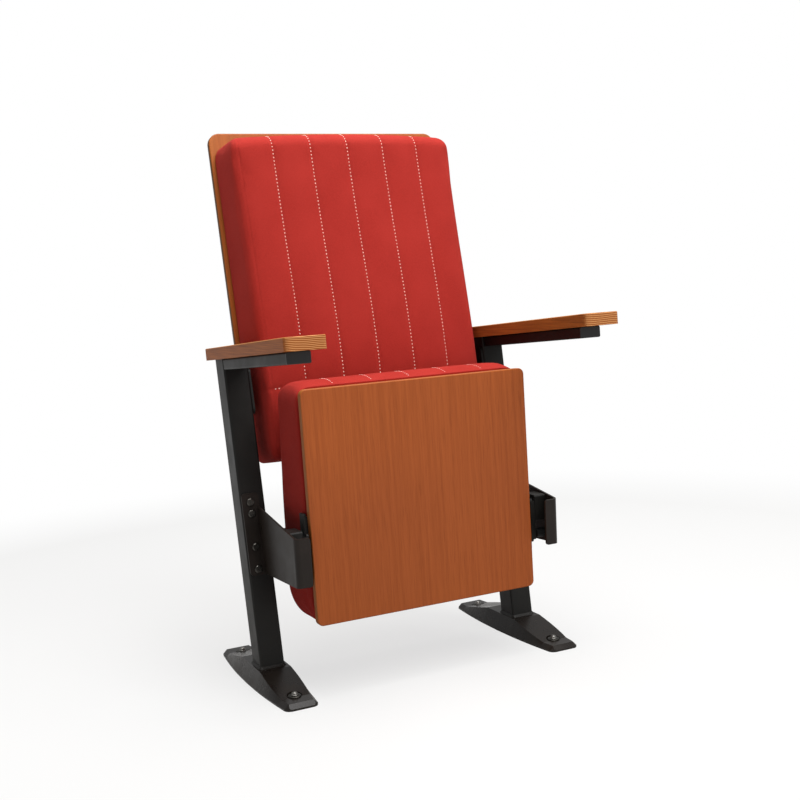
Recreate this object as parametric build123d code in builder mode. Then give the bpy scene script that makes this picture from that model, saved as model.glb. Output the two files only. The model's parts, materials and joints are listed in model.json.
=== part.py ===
"""A tip-up auditorium seat on two raked legs, with timber armrests and a sewn back.

Millimetres. X runs across the seat, the front faces -Y and Z is up. The origin is on the
floor, in the middle of the four anchor holes. Left and right are those of someone who
stands in front of the seat and looks at it. The seat is modelled tipped up, at rest.
"""
from build123d import *
from math import cos, pi, radians, sin, sqrt, tan
import os

os.makedirs("parts", exist_ok=True)

SIDES = (("left", -1), ("right", 1))

# ---------------------------------------------------------------- driving sizes
# tipping seat
seat_width = 448.0
seat_panel_height = 417.0
seat_panel_thickness = 12.0
seat_panel_below_pivot = 143.5
seat_panel_corner = 11.0
seat_panel_edge = 2.0
seat_board_thickness = 12.0
seat_board_inset = 5.0
seat_lean = 1.4
seat_padding = 126.0
seat_padding_taper = 70.0
seat_padding_peak = 0.3
seat_crown = 3.0
seat_padding_rise = 13.0

# sewing shared by both cushions
sewn_pitch = 75.0
sewn_lines = 5
sewn_depth = 2.5
side_draw_in = 1.0
cushion_corner = 10.0
cushion_side_gap = 1.0
cushion_corner_share = 0.45
least_puff = 0.2

# pivot and hinge plates
pivot_y = -130.0
pivot_z = 275.0
pivot_depth = 26.0
seat_travel = 86.0
hinge_gap = 3.0
hinge_plate_thickness = 4.0
hinge_lip_reach = 5.0
hinge_ear_front = 22.0
hinge_ear_back = 22.0
hinge_ear_above = 24.0
hinge_ear_below = 60.0
hinge_strip_width = 20.0
hinge_strip_above = 58.0
hinge_strip_below = 74.0
hinge_foot_reach = 46.0
hinge_corner = 5.0
hinge_screw_radius = 2.5
hinge_screw_head = 5.0
hinge_screw_length = 10.0
hinge_screws_per_side = 4

# pivot housing
running_gap = 2.0
housing_width = 24.0
housing_half_depth = 20.0
housing_above = 30.0
housing_below = 20.0
pin_radius = 8.0
pin_end_gap = 1.0
bush_clearance = 0.05
bush_wall = 3.0
bush_length = 10.0
bush_end_gap = 0.5
spring_wire = 2.2
spring_radius = 12.5
spring_turns = 3.5
spring_pitch = 2.8
spring_leg = 12.0
spring_leg_gap = 0.3
spring_end_gap = 0.5
spring_cavity_gap = 2.0

# stops
stop_pin_radius = 5.0
stop_pin_arm = 45.0
stop_pin_length = 27.0
stop_pin_angle = 8.0
buffer_radius = 9.0
buffer_length = 17.0
buffer_gap = 0.4

# seat brackets
bracket_plate = 4.0
bracket_reach = 56.0
bracket_above = 25.0
bracket_below = 70.0
bracket_slope = 9.2
bracket_underslope = 2.7
bracket_lip_gap = 2.0
bracket_lip_corner = 5.0
bracket_bend = 9.5
bracket_corner = 8.0
bracket_to_leg_middle = 7.0
bracket_foot_margin = 2.0
bracket_foot_above = 48.0
bracket_bolt_heights = (-59.0, -18.0, 43.0, 64.0)
bracket_bolt_offset = 6.0
bolt_radius = 4.0
bolt_head_radius = 7.0
bolt_head_height = 4.0
bolt_head_chamfer = 1.3
bolt_clearance = 0.4
bolt_grip = 10.0
nut_radius = 6.5
nut_length = 9.0

# legs and feet
leg_width = 47.0
leg_depth = 48.0
leg_wall = 2.5
leg_corner = 4.0
leg_lean = 8.0
leg_base_y = -19.0
foot_length = 371.0
foot_middle_width = 86.0
foot_end_width = 64.0
foot_end_radius = 13.0
foot_rim = 3.0
foot_bevel = 8.0
foot_edge = 0.3
foot_height = 33.0
foot_deck_width = 60.0
foot_deck_end = 52.0
foot_slope_end = 150.0
foot_side_slices = 5
foot_corner_slices = 6
anchor_spacing = 290.0
anchor_hole_radius = 5.5
anchor_pad_radius = 14.0
anchor_pad_height = 10.5
washer_radius = 12.0
washer_thickness = 3.0
washer_gap = 0.5
washer_edge = 1.2
weld_size = 4.0
weld_toe = 0.5

# armrests
arm_length = 431.0
arm_width = 71.0
arm_thickness = 22.0
arm_front_y = -325.0
arm_front_z = 647.0
arm_tilt = 3.6
arm_front_corner = 9.0
arm_back_corner = 8.0
arm_beyond_leg = 2.0
arm_edge = 2.0
rail_width = 42.0
rail_height = 20.0
rail_wall = 2.0
rail_corner = 3.0
rail_setback = 40.0
cap_flange = 2.0
cap_plug_length = 14.0
cap_plug_gap = 0.2
arm_screw_radius = 3.0
arm_screw_head = 6.0
arm_screw_head_height = 3.0
arm_screw_bite = 14.0
arm_screw_clearance = 0.3
arm_screw_access = 7.5
arm_screw_places = (40.0, 190.0)

# back
seat_to_back_gap = 2.0
seat_under_back_gap = 5.0
back_lean = 9.7
back_height = 611.0
back_padding = 77.0
back_flare = 9.5
back_board_thickness = 10.0
back_board_inset = 18.0
back_shell_thickness = 12.0
back_shell_rise = 27.0
back_shell_drop = -8.0
back_shell_corner = 22.0
back_shell_edge = 2.5
back_shell_margin = 14.5
back_to_leg_gap = 6.5
back_crown = 10.0
back_lumbar_edge = 12.0
back_lumbar_middle = 20.0
back_lumbar_shape = 0.63
back_edge_radius = 28.0
back_corner_radius = 18.0
back_bracket_plate = 4.0
back_bracket_low = 95.0
back_bracket_high = 180.0
back_bracket_front = 12.0
back_bracket_reach = 64.0
back_bolt_depth = 37.0
back_bolt_margin = 22.0
shell_bolt_radius = 3.0
shell_bolt_head = 6.5
shell_bolt_head_height = 3.0
shell_bolt_count = 3
shell_bolt_margin = 14.0
tee_nut_radius = 5.0
tee_nut_flange = 9.0
tee_nut_flange_thickness = 1.5

# hidden clips that hold the seat panel
clip_radius = 5.0
clip_depth = 6.0
clip_rows = 3
clip_margin = 60.0

# seat cushion edges
seat_front_radius = 26.0
seat_front_side_radius = 30.0
seat_rear_radius = 52.0
seat_rear_side_radius = 12.0
end_steps = 5
middle_steps = 8

# ---------------------------------------------------------------- places worked out
hinge_x = seat_width / 2 + hinge_gap
hinge_out_x = hinge_x + hinge_plate_thickness
lip_out_x = hinge_out_x + hinge_lip_reach
housing_x = lip_out_x + running_gap
plate_in_x = housing_x + housing_width
plate_out_x = plate_in_x + bracket_plate
leg_x = plate_out_x + bracket_to_leg_middle
leg_in_x = leg_x - leg_width / 2
arm_x = leg_x + arm_beyond_leg
leg_out_x = leg_x + leg_width / 2

seat_thickness = seat_panel_thickness + seat_board_thickness + seat_padding
seat_deepest = seat_thickness + seat_crown
back_depth = back_padding + back_board_thickness
shell_width = 2 * (leg_in_x - back_to_leg_gap)
back_width = shell_width - 2 * back_shell_margin
foot_toe_height = foot_rim + foot_bevel
long_enough = 2 * (arm_front_z + arm_length)


def toward(plane, across=0.0, up=0.0, out=0.0):
    """A point given in a plane's own directions."""
    return plane.origin + plane.x_dir * across + plane.y_dir * up + plane.z_dir * out


def section_plane(face, height):
    """The plane square to a leaning face at a height along it; its y runs behind the face."""
    return Plane(origin=toward(face, up=height), x_dir=face.x_dir, z_dir=face.y_dir)


def side_plane(face, x):
    """The upright plane at x, with its x running behind the face and its y up along it."""
    return Plane(origin=toward(face, across=x), x_dir=face.z_dir * -1, z_dir=face.x_dir)


def leaning_face(y, z, lean):
    """A face that looks forward, through y and z, and leans back by an angle in degrees."""
    return Plane(origin=(0, y, z), x_dir=(1, 0, 0), z_dir=(0, -cos(radians(lean)), sin(radians(lean))))


# the seat panel's front face at pivot height, and the back cushion's front face at its foot
seat_face = leaning_face(
    pivot_y - pivot_depth * cos(radians(seat_lean)), pivot_z + pivot_depth * sin(radians(seat_lean)), seat_lean
)
back_foot_y = seat_face.origin.Y + seat_deepest + seat_to_back_gap
back_foot_z = pivot_z + seat_deepest - pivot_depth + seat_under_back_gap
back_face = leaning_face(back_foot_y, back_foot_z, back_lean)
leg_front = leaning_face(leg_base_y, 0, leg_lean).offset(leg_depth / 2)
arm_axis = (0, cos(radians(arm_tilt)), -sin(radians(arm_tilt)))
arm_up = (0, sin(radians(arm_tilt)), cos(radians(arm_tilt)))
arm_top = Plane(origin=(0, arm_front_y, arm_front_z), x_dir=(1, 0, 0), z_dir=arm_up)
arm_underside = arm_top.offset(-arm_thickness)
rail_start = Plane(origin=toward(arm_underside, up=rail_setback), x_dir=(1, 0, 0), z_dir=arm_axis)
foot_top = Plane.XY.offset(foot_height)


def leg_y(z):
    """The leg's centreline at a height above the floor."""
    return leg_base_y + z * tan(radians(leg_lean))


def along_leg(z):
    """Distance up the leg's front face of a point at a height above the floor."""
    return (z - leg_front.origin.Z) / cos(radians(leg_lean))


def bolts(plane, points, head_radius, head_height, shank_radius, shank_length):
    """A set of identical fasteners, heads on the outer side of a plane, shanks behind it."""
    with BuildPart() as group:
        with BuildSketch(plane):
            with Locations(*points):
                Circle(head_radius)
        extrude(amount=head_height)
        with BuildSketch(plane):
            with Locations(*points):
                Circle(shank_radius)
        extrude(amount=-shank_length)
    return group.part


# ---------------------------------------------------------------- feet
def foot_half_width(y):
    """Half the width of the foot at a distance from its middle: an arc, then a rounded corner."""
    side_length = foot_length / 2 - foot_end_radius
    bulge = (foot_middle_width - foot_end_width) / 2
    on_side = foot_end_width / 2 + bulge * (1 - min(abs(y) / side_length, 1) ** 2)
    past_side = max(abs(y) - side_length, 0)
    return on_side - foot_end_radius + sqrt(foot_end_radius ** 2 - past_side ** 2)


def foot_slice(x, y):
    """One upright slice through the foot: a thin rim, a sloping side and a flat top."""
    half = foot_half_width(y)
    rise = min(max((foot_slope_end - abs(y)) / (foot_slope_end - foot_deck_end), 0), 1)
    bevel = min(foot_bevel, max(foot_length / 2 - abs(y), foot_edge))
    toe_half = half - bevel
    top_half = toe_half + rise * (foot_deck_width / 2 - toe_half)
    top = foot_rim + bevel + rise * (foot_height - foot_toe_height)
    with BuildSketch(Plane(origin=(x, y, 0), x_dir=(1, 0, 0), z_dir=(0, -1, 0))) as slice_of_foot:
        Polygon(
            (-half, 0), (half, 0), (half, foot_rim), (top_half, top), (-top_half, top), (-half, foot_rim),
            align=None,
        )
    return slice_of_foot.sketch


corner_steps = [
    foot_length / 2 - foot_end_radius * (1 - sin(pi / 2 * step / foot_corner_slices))
    for step in range(foot_corner_slices + 1)
]
side_steps = [
    foot_deck_end + (foot_slope_end - foot_deck_end) * step / foot_side_slices
    for step in range(foot_side_slices + 1)
]
foot_stations = sorted(side_steps + corner_steps + [foot_length / 2 - foot_bevel])
foot_stations = [-y for y in reversed(foot_stations)] + [0] + foot_stations
anchors = [(0, -anchor_spacing / 2), (0, anchor_spacing / 2)]

for side_name, side in SIDES:
    x = side * leg_x
    with BuildPart() as foot:
        loft([foot_slice(x, y) for y in foot_stations], ruled=True)
        with BuildSketch(Plane.XY.move(Location((x, 0, anchor_pad_height)))):
            with Locations(*anchors):
                Circle(anchor_pad_radius)
        extrude(amount=foot_height, mode=Mode.SUBTRACT)
        with BuildSketch(Plane.XY.move(Location((x, 0, 0)))):
            with Locations(*anchors):
                Circle(anchor_hole_radius)
        extrude(amount=foot_height, mode=Mode.SUBTRACT)
    foot.part.label = f"foot_{side_name}"
    export_step(foot.part, f"parts/foot_{side_name}.step")

with BuildPart() as anchor_washers:
    with BuildSketch(Plane.XY.offset(anchor_pad_height)):
        with GridLocations(2 * leg_x, anchor_spacing, 2, 2):
            Circle(washer_radius)
            Circle(anchor_hole_radius + washer_gap, mode=Mode.SUBTRACT)
    extrude(amount=washer_thickness)
    washer_rims = edges().filter_by(GeomType.CIRCLE).group_by(Axis.Z)[-1]
    chamfer(washer_rims.filter_by(lambda rim: rim.radius > anchor_hole_radius + 2 * washer_gap), washer_edge)
anchor_washers.part.label = "anchor_washers"
export_step(anchor_washers.part, "parts/anchor_washers.step")

# ---------------------------------------------------------------- legs
bracket_bolt_x = leg_x + bracket_bolt_offset
bracket_bolt_points = [
    (side * bracket_bolt_x, along_leg(pivot_z + height)) for _, side in SIDES for height in bracket_bolt_heights
]


def leg_path(side):
    """The sloping plane across a leg where its centreline meets the floor."""
    lean = radians(leg_lean)
    return Plane(origin=(side * leg_x, leg_base_y, 0), x_dir=(1, 0, 0), z_dir=(0, sin(lean), cos(lean)))


for side_name, side in SIDES:
    with BuildPart() as leg_tube:
        with BuildSketch(leg_path(side)):
            RectangleRounded(leg_width, leg_depth, leg_corner)
            RectangleRounded(
                leg_width - 2 * leg_wall, leg_depth - 2 * leg_wall, leg_corner - leg_wall, mode=Mode.SUBTRACT
            )
        extrude(amount=long_enough)
        split(bisect_by=foot_top, keep=Keep.TOP)
        split(bisect_by=arm_underside, keep=Keep.BOTTOM)
        with BuildSketch(leg_front.offset(-leg_wall * 2)):
            with Locations(*[point for point in bracket_bolt_points if point[0] * side > 0]):
                Circle(bolt_radius + bolt_clearance)
        extrude(amount=leg_wall * 4, mode=Mode.SUBTRACT)
        with BuildSketch(side_plane(back_face, side * leg_in_x)):
            with Locations(
                (back_bolt_depth, back_bracket_low + back_bolt_margin),
                (back_bolt_depth, back_bracket_high - back_bolt_margin),
            ):
                Circle(bolt_radius + bolt_clearance)
        extrude(amount=leg_wall * 2, both=True, mode=Mode.SUBTRACT)
    leg_tube.part.label = f"leg_tube_{side_name}"
    export_step(leg_tube.part, f"parts/leg_tube_{side_name}.step")

with BuildPart() as leg_welds:
    for side_name, side in SIDES:
        foot_of_leg = (side * leg_x, leg_y(foot_height), foot_height)
        top_of_weld = (side * leg_x, leg_y(foot_height + weld_size), foot_height + weld_size)
        with BuildSketch(Plane(origin=foot_of_leg)):
            RectangleRounded(leg_width + 2 * weld_size, leg_depth + 2 * weld_size, leg_corner + weld_size)
        with BuildSketch(Plane(origin=top_of_weld)):
            RectangleRounded(leg_width + 2 * weld_toe, leg_depth + 2 * weld_toe, leg_corner)
        loft(ruled=True)
        with BuildSketch(leg_path(side)):
            RectangleRounded(leg_width, leg_depth, leg_corner)
        extrude(amount=3 * foot_height, mode=Mode.SUBTRACT)
leg_welds.part.label = "leg_welds"
export_step(leg_welds.part, "parts/leg_welds.step")

# ---------------------------------------------------------------- armrests and their rails
rail_middle = rail_height / 2
for side_name, side in SIDES:
    x = side * arm_x
    with BuildPart() as armrest:
        with BuildSketch(arm_top):
            with Locations((x, arm_length / 2)):
                Rectangle(arm_width, arm_length)
            fillet(vertices().group_by(Axis.Y)[0], arm_front_corner)
            fillet(vertices().group_by(Axis.Y)[-1], arm_back_corner)
        extrude(amount=-arm_thickness)
        fillet(faces().sort_by(Axis((0, 0, 0), arm_up))[-1].edges(), arm_edge)
        with BuildSketch(arm_underside):
            with Locations(*[(x, rail_setback + place) for place in arm_screw_places]):
                Circle(arm_screw_radius)
        extrude(amount=arm_screw_bite, mode=Mode.SUBTRACT)
    armrest.part.label = f"armrest_{side_name}"
    export_step(armrest.part, f"parts/armrest_{side_name}.step")

    with BuildPart() as arm_rail:
        with BuildSketch(rail_start):
            with Locations((x, rail_middle)):
                RectangleRounded(rail_width, rail_height, rail_corner)
                RectangleRounded(
                    rail_width - 2 * rail_wall, rail_height - 2 * rail_wall, rail_corner - rail_wall,
                    mode=Mode.SUBTRACT,
                )
        extrude(amount=long_enough)
        split(bisect_by=leg_front, keep=Keep.TOP)
        with BuildSketch(arm_underside):
            with Locations(*[(x, rail_setback + place) for place in arm_screw_places]):
                Circle(arm_screw_radius + arm_screw_clearance)
        extrude(amount=-2 * rail_wall, mode=Mode.SUBTRACT)
        with BuildSketch(arm_underside.offset(-rail_height / 2)):
            with Locations(*[(x, rail_setback + place) for place in arm_screw_places]):
                Circle(arm_screw_access)
        extrude(amount=-rail_height, mode=Mode.SUBTRACT)
    arm_rail.part.label = f"arm_rail_{side_name}"
    export_step(arm_rail.part, f"parts/arm_rail_{side_name}.step")

    with BuildPart() as rail_cap:
        with BuildSketch(rail_start):
            with Locations((x, rail_middle)):
                RectangleRounded(rail_width, rail_height, rail_corner)
        extrude(amount=-cap_flange)
        plug_gap = 2 * (rail_wall + cap_plug_gap)
        with BuildSketch(rail_start):
            with Locations((x, rail_middle)):
                RectangleRounded(rail_width - plug_gap, rail_height - plug_gap, rail_corner - rail_wall)
        extrude(amount=cap_plug_length)
        fillet(faces().sort_by(Axis((0, 0, 0), arm_axis))[0].edges(), cap_flange / 2)
    rail_cap.part.label = f"rail_cap_{side_name}"
    export_step(rail_cap.part, f"parts/rail_cap_{side_name}.step")

screw_points = [(side * arm_x, rail_setback + place) for _, side in SIDES for place in arm_screw_places]
rail_inside = arm_underside.offset(-rail_wall)
with BuildPart() as armrest_screws:
    with BuildSketch(rail_inside):
        with Locations(*screw_points):
            Circle(arm_screw_head)
    extrude(amount=-arm_screw_head_height)
    with BuildSketch(rail_inside):
        with Locations(*screw_points):
            Circle(arm_screw_radius)
    extrude(amount=rail_wall + arm_screw_bite)
armrest_screws.part.label = "armrest_screws"
export_step(armrest_screws.part, "parts/armrest_screws.step")

# ---------------------------------------------------------------- seat brackets on the legs
bracket_front_y = pivot_y - bracket_reach
bracket_low_z = pivot_z - bracket_below
bracket_top_z = pivot_z + bracket_above
bracket_foot_top = pivot_z + bracket_above + bracket_foot_above + bracket_corner
bracket_top = Plane(
    origin=(0, bracket_front_y, bracket_top_z),
    x_dir=(1, 0, 0),
    z_dir=(0, -sin(radians(bracket_slope)), cos(radians(bracket_slope))),
)
bracket_bottom = Plane(
    origin=(0, leg_y(bracket_low_z), bracket_low_z),
    x_dir=(1, 0, 0),
    z_dir=(0, sin(radians(bracket_underslope)), cos(radians(bracket_underslope))),
)
lip_in_x = lip_out_x + bracket_lip_gap
foot_flange_width = leg_out_x - bracket_foot_margin - plate_in_x

for side_name, side in SIDES:
    with BuildPart() as seat_bracket:
        plate_x = side * (plate_in_x + bracket_plate / 2)
        lip_y = bracket_front_y + bracket_plate / 2
        with BuildSketch(Plane.XY.offset(bracket_low_z)):
            with BuildLine():
                FilletPolyline(
                    (side * lip_in_x, lip_y), (plate_x, lip_y), (plate_x, leg_y(bracket_foot_top)),
                    radius=bracket_bend - bracket_plate / 2,
                )
            trace(line_width=bracket_plate)
        extrude(amount=bracket_foot_top - bracket_low_z)
        split(bisect_by=bracket_top, keep=Keep.BOTTOM)
        split(bisect_by=bracket_bottom, keep=Keep.TOP)
        split(bisect_by=leg_front, keep=Keep.TOP)
        free_end = edges().group_by(Axis.X)[-1 if side < 0 else 0]
        fillet(free_end.filter_by(lambda edge: edge.length < 2 * bracket_plate), bracket_lip_corner)
        low = along_leg(bracket_low_z)
        high = along_leg(bracket_foot_top)
        with BuildSketch(leg_front):
            with Locations((side * (plate_in_x + foot_flange_width / 2), (low + high) / 2)):
                RectangleRounded(foot_flange_width, high - low, bracket_corner)
            with Locations((side * (plate_in_x + bracket_plate), (low + high) / 2)):
                Rectangle(2 * bracket_plate, high - low - 2 * bracket_corner)
        extrude(amount=bracket_plate)
        with BuildSketch(leg_front):
            with Locations(*[point for point in bracket_bolt_points if point[0] * side > 0]):
                Circle(bolt_radius + bolt_clearance)
        extrude(amount=2 * bracket_plate, mode=Mode.SUBTRACT)
    seat_bracket.part.label = f"seat_bracket_{side_name}"
    export_step(seat_bracket.part, f"parts/seat_bracket_{side_name}.step")

bolt_seat = leg_front.offset(bracket_plate)
with BuildPart() as bracket_bolts:
    add(
        bolts(
            bolt_seat, bracket_bolt_points, bolt_head_radius, bolt_head_height, bolt_radius,
            bracket_plate + leg_wall + bolt_grip,
        )
    )
    crowns = edges().filter_by(GeomType.CIRCLE).filter_by(lambda rim: rim.radius > bolt_radius)
    chamfer(crowns.group_by(Axis((0, 0, 0), tuple(leg_front.z_dir)))[-1], bolt_head_chamfer)
bracket_bolts.part.label = "bracket_bolts"
export_step(bracket_bolts.part, "parts/bracket_bolts.step")

with BuildPart() as bracket_nuts:
    with BuildSketch(leg_front.offset(-leg_wall)):
        with Locations(*bracket_bolt_points):
            RegularPolygon(nut_radius, 6)
            Circle(bolt_radius, mode=Mode.SUBTRACT)
    extrude(amount=-nut_length)
bracket_nuts.part.label = "bracket_nuts"
export_step(bracket_nuts.part, "parts/bracket_nuts.step")

# ---------------------------------------------------------------- pivot housings, bushes, springs and stops
bush_radius = pin_radius + bush_clearance + bush_wall
bush_out_x = plate_in_x - bush_end_gap
bush_in_x = bush_out_x - bush_length
cavity_radius = spring_radius + spring_wire / 2 + spring_cavity_gap
cavity_end_x = bush_in_x


def turned(angle):
    """A stop's place from the pivot, in Y and Z, after the seat has come down by an angle."""
    start = radians(stop_pin_angle)
    y0 = stop_pin_arm * sin(start)
    z0 = -stop_pin_arm * cos(start)
    turn = radians(angle)
    return (y0 * cos(turn) - z0 * sin(turn), z0 * cos(turn) + y0 * sin(turn))


def buffer_place(angle, beyond):
    """The centre of a buffer that the stop pin meets at an angle, ahead of it or behind it."""
    y, z = turned(angle)
    reach = beyond * (stop_pin_radius + buffer_radius + buffer_gap) / stop_pin_arm
    return (pivot_y + y - reach * z, pivot_z + z + reach * y)


coil_length = spring_turns * spring_pitch
coil_end_x = cavity_end_x - spring_wire / 2 - spring_end_gap

for side_name, side in SIDES:
    with BuildLine() as coil:
        turns = Helix(
            spring_pitch, coil_length, spring_radius,
            center=(side * (coil_end_x - coil_length), pivot_y, pivot_z), direction=(side, 0, 0),
        )
        leg_end = turns @ 1 + (turns % 1) * spring_leg
        Line(turns @ 1, leg_end)
    leg_start = Plane(origin=turns @ 1, z_dir=turns % 1)
    coil_start = Plane(origin=turns @ 0, z_dir=turns % 0)

    with BuildPart() as return_spring:
        with BuildSketch(coil_start):
            Circle(spring_wire / 2)
        sweep(path=coil.wire())
    return_spring.part.label = f"return_spring_{side_name}"
    export_step(return_spring.part, f"parts/return_spring_{side_name}.step")

    with BuildPart() as pivot_block:
        with BuildSketch(Plane.YZ.offset(side * housing_x)):
            with Locations((pivot_y, pivot_z + (housing_above - housing_below) / 2)):
                RectangleRounded(2 * housing_half_depth, housing_above + housing_below, bracket_plate)
        extrude(amount=side * housing_width)
        with BuildSketch(Plane.YZ.offset(side * housing_x)):
            with Locations((pivot_y, pivot_z)):
                Circle(cavity_radius)
        extrude(amount=side * (cavity_end_x - housing_x), mode=Mode.SUBTRACT)
        with BuildSketch(Plane.YZ.offset(side * cavity_end_x)):
            with Locations((pivot_y, pivot_z)):
                Circle(bush_radius)
        extrude(amount=side * (plate_in_x - cavity_end_x), mode=Mode.SUBTRACT)
        with BuildSketch(leg_start):
            Circle(spring_wire / 2 + spring_leg_gap)
        extrude(amount=2 * spring_leg, mode=Mode.SUBTRACT)
    pivot_block.part.label = f"pivot_block_{side_name}"
    export_step(pivot_block.part, f"parts/pivot_block_{side_name}.step")

    with BuildPart() as pivot_bush:
        with BuildSketch(Plane.YZ.offset(side * bush_in_x)):
            with Locations((pivot_y, pivot_z)):
                Circle(bush_radius)
                Circle(pin_radius + bush_clearance, mode=Mode.SUBTRACT)
        extrude(amount=side * bush_length)
    pivot_bush.part.label = f"pivot_bush_{side_name}"
    export_step(pivot_bush.part, f"parts/pivot_bush_{side_name}.step")

    with BuildPart() as pivot_pin:
        with BuildSketch(Plane.YZ.offset(side * hinge_x)):
            with Locations((pivot_y, pivot_z)):
                Circle(pin_radius)
        extrude(amount=side * (plate_in_x - pin_end_gap - hinge_x))
    pivot_pin.part.label = f"pivot_pin_{side_name}"
    export_step(pivot_pin.part, f"parts/pivot_pin_{side_name}.step")

    with BuildPart() as stop_pin:
        pin_y, pin_z = turned(0)
        with BuildSketch(Plane.YZ.offset(side * hinge_x)):
            with Locations((pivot_y + pin_y, pivot_z + pin_z)):
                Circle(stop_pin_radius)
        extrude(amount=side * stop_pin_length)
    stop_pin.part.label = f"stop_pin_{side_name}"
    export_step(stop_pin.part, f"parts/stop_pin_{side_name}.step")

    for stop_name, place in (("up_stop", buffer_place(0, -1)), ("down_stop", buffer_place(seat_travel, 1))):
        with BuildPart() as stop_buffer:
            with BuildSketch(Plane.YZ.offset(side * plate_in_x)):
                with Locations(place):
                    Circle(buffer_radius)
            extrude(amount=-side * buffer_length)
            chamfer(edges().group_by(Axis.X)[0 if side > 0 else -1], stop_pin_radius / 5)
        stop_buffer.part.label = f"{stop_name}_{side_name}"
        export_step(stop_buffer.part, f"parts/{stop_name}_{side_name}.step")

spring_gap = spring_pitch - spring_wire
print("return springs: least gap between turns", round(spring_gap, 2), "mm")

# ---------------------------------------------------------------- hinge plates on the seat
foot_in_x = hinge_out_x - hinge_foot_reach
strip_middle = seat_panel_thickness + hinge_strip_width / 2
hinge_screw_pitch = (hinge_strip_above + hinge_strip_below) / hinge_screws_per_side
hinge_screw_heights = [
    -hinge_strip_below + hinge_screw_pitch * (index + 0.5) for index in range(hinge_screws_per_side)
]
hinge_screw_x = (foot_in_x + seat_width / 2 - seat_board_inset) / 2
hinge_screw_points = [(side * hinge_screw_x, height) for _, side in SIDES for height in hinge_screw_heights]

for side_name, side in SIDES:
    with BuildPart() as hinge_plate:
        ear_depth = hinge_ear_front + hinge_ear_back
        ear_height = hinge_ear_above + hinge_ear_below
        ear_middle = (
            pivot_depth + (hinge_ear_back - hinge_ear_front) / 2, (hinge_ear_above - hinge_ear_below) / 2
        )
        with BuildSketch(side_plane(seat_face, side * hinge_x)):
            with Locations(ear_middle):
                RectangleRounded(ear_depth, ear_height, hinge_corner)
            with Locations((strip_middle, (hinge_strip_above - hinge_strip_below) / 2)):
                RectangleRounded(hinge_strip_width, hinge_strip_above + hinge_strip_below, hinge_corner / 2)
        extrude(amount=side * hinge_plate_thickness)
        lip_plane = seat_face.offset(-(pivot_depth - hinge_ear_front))
        with BuildSketch(lip_plane):
            with Locations((side * (hinge_x + lip_out_x) / 2, ear_middle[1])):
                Rectangle(hinge_plate_thickness + hinge_lip_reach, ear_height - 2 * hinge_corner)
        extrude(amount=-hinge_plate_thickness)
        with BuildSketch(seat_face.offset(-seat_panel_thickness)):
            with Locations((side * (hinge_out_x + foot_in_x) / 2, (hinge_strip_above - hinge_strip_below) / 2)):
                Rectangle(hinge_foot_reach, hinge_strip_above + hinge_strip_below - 2 * hinge_corner)
        extrude(amount=-hinge_plate_thickness)
        with BuildSketch(seat_face.offset(-seat_panel_thickness)):
            with Locations(*[point for point in hinge_screw_points if point[0] * side > 0]):
                Circle(hinge_screw_head)
        extrude(amount=-(hinge_screw_head - hinge_screw_radius), taper=45, mode=Mode.SUBTRACT)
        with BuildSketch(seat_face.offset(-seat_panel_thickness)):
            with Locations(*[point for point in hinge_screw_points if point[0] * side > 0]):
                Circle(hinge_screw_radius)
        extrude(amount=-2 * hinge_plate_thickness, mode=Mode.SUBTRACT)
        pin_y, pin_z = turned(0)
        with BuildSketch(Plane.YZ.offset(side * hinge_x)):
            with Locations((pivot_y, pivot_z)):
                Circle(pin_radius)
            with Locations((pivot_y + pin_y, pivot_z + pin_z)):
                Circle(stop_pin_radius)
        extrude(amount=side * hinge_plate_thickness, mode=Mode.SUBTRACT)
    hinge_plate.part.label = f"hinge_plate_{side_name}"
    export_step(hinge_plate.part, f"parts/hinge_plate_{side_name}.step")

with BuildPart() as hinge_screws:
    with BuildSketch(seat_face.offset(-seat_panel_thickness)):
        with Locations(*hinge_screw_points):
            Circle(hinge_screw_head)
    extrude(amount=-(hinge_screw_head - hinge_screw_radius), taper=45)
    with BuildSketch(seat_face.offset(-seat_panel_thickness)):
        with Locations(*hinge_screw_points):
            Circle(hinge_screw_radius)
    extrude(amount=-hinge_screw_length)
hinge_screws.part.label = "hinge_screws"
export_step(hinge_screws.part, "parts/hinge_screws.step")

# ---------------------------------------------------------------- seat panel, board and clips
panel_middle = seat_panel_height / 2 - seat_panel_below_pivot
clip_spread = seat_width - 2 * clip_margin - 2 * hinge_foot_reach
clip_rise = (seat_panel_height - 2 * clip_margin) / (clip_rows - 1)

with BuildPart() as seat_panel:
    with BuildSketch(seat_face):
        with Locations((0, panel_middle)):
            RectangleRounded(seat_width, seat_panel_height, seat_panel_corner)
    extrude(amount=-seat_panel_thickness)
    fillet(faces().sort_by(Axis.Y)[0].edges(), seat_panel_edge)
    with BuildSketch(seat_face.offset(-seat_panel_thickness)):
        with Locations((0, panel_middle)):
            with GridLocations(clip_spread, clip_rise, 2, clip_rows):
                Circle(clip_radius)
    extrude(amount=clip_depth, mode=Mode.SUBTRACT)
seat_panel.part.label = "seat_panel"
export_step(seat_panel.part, "parts/seat_panel.step")

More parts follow.
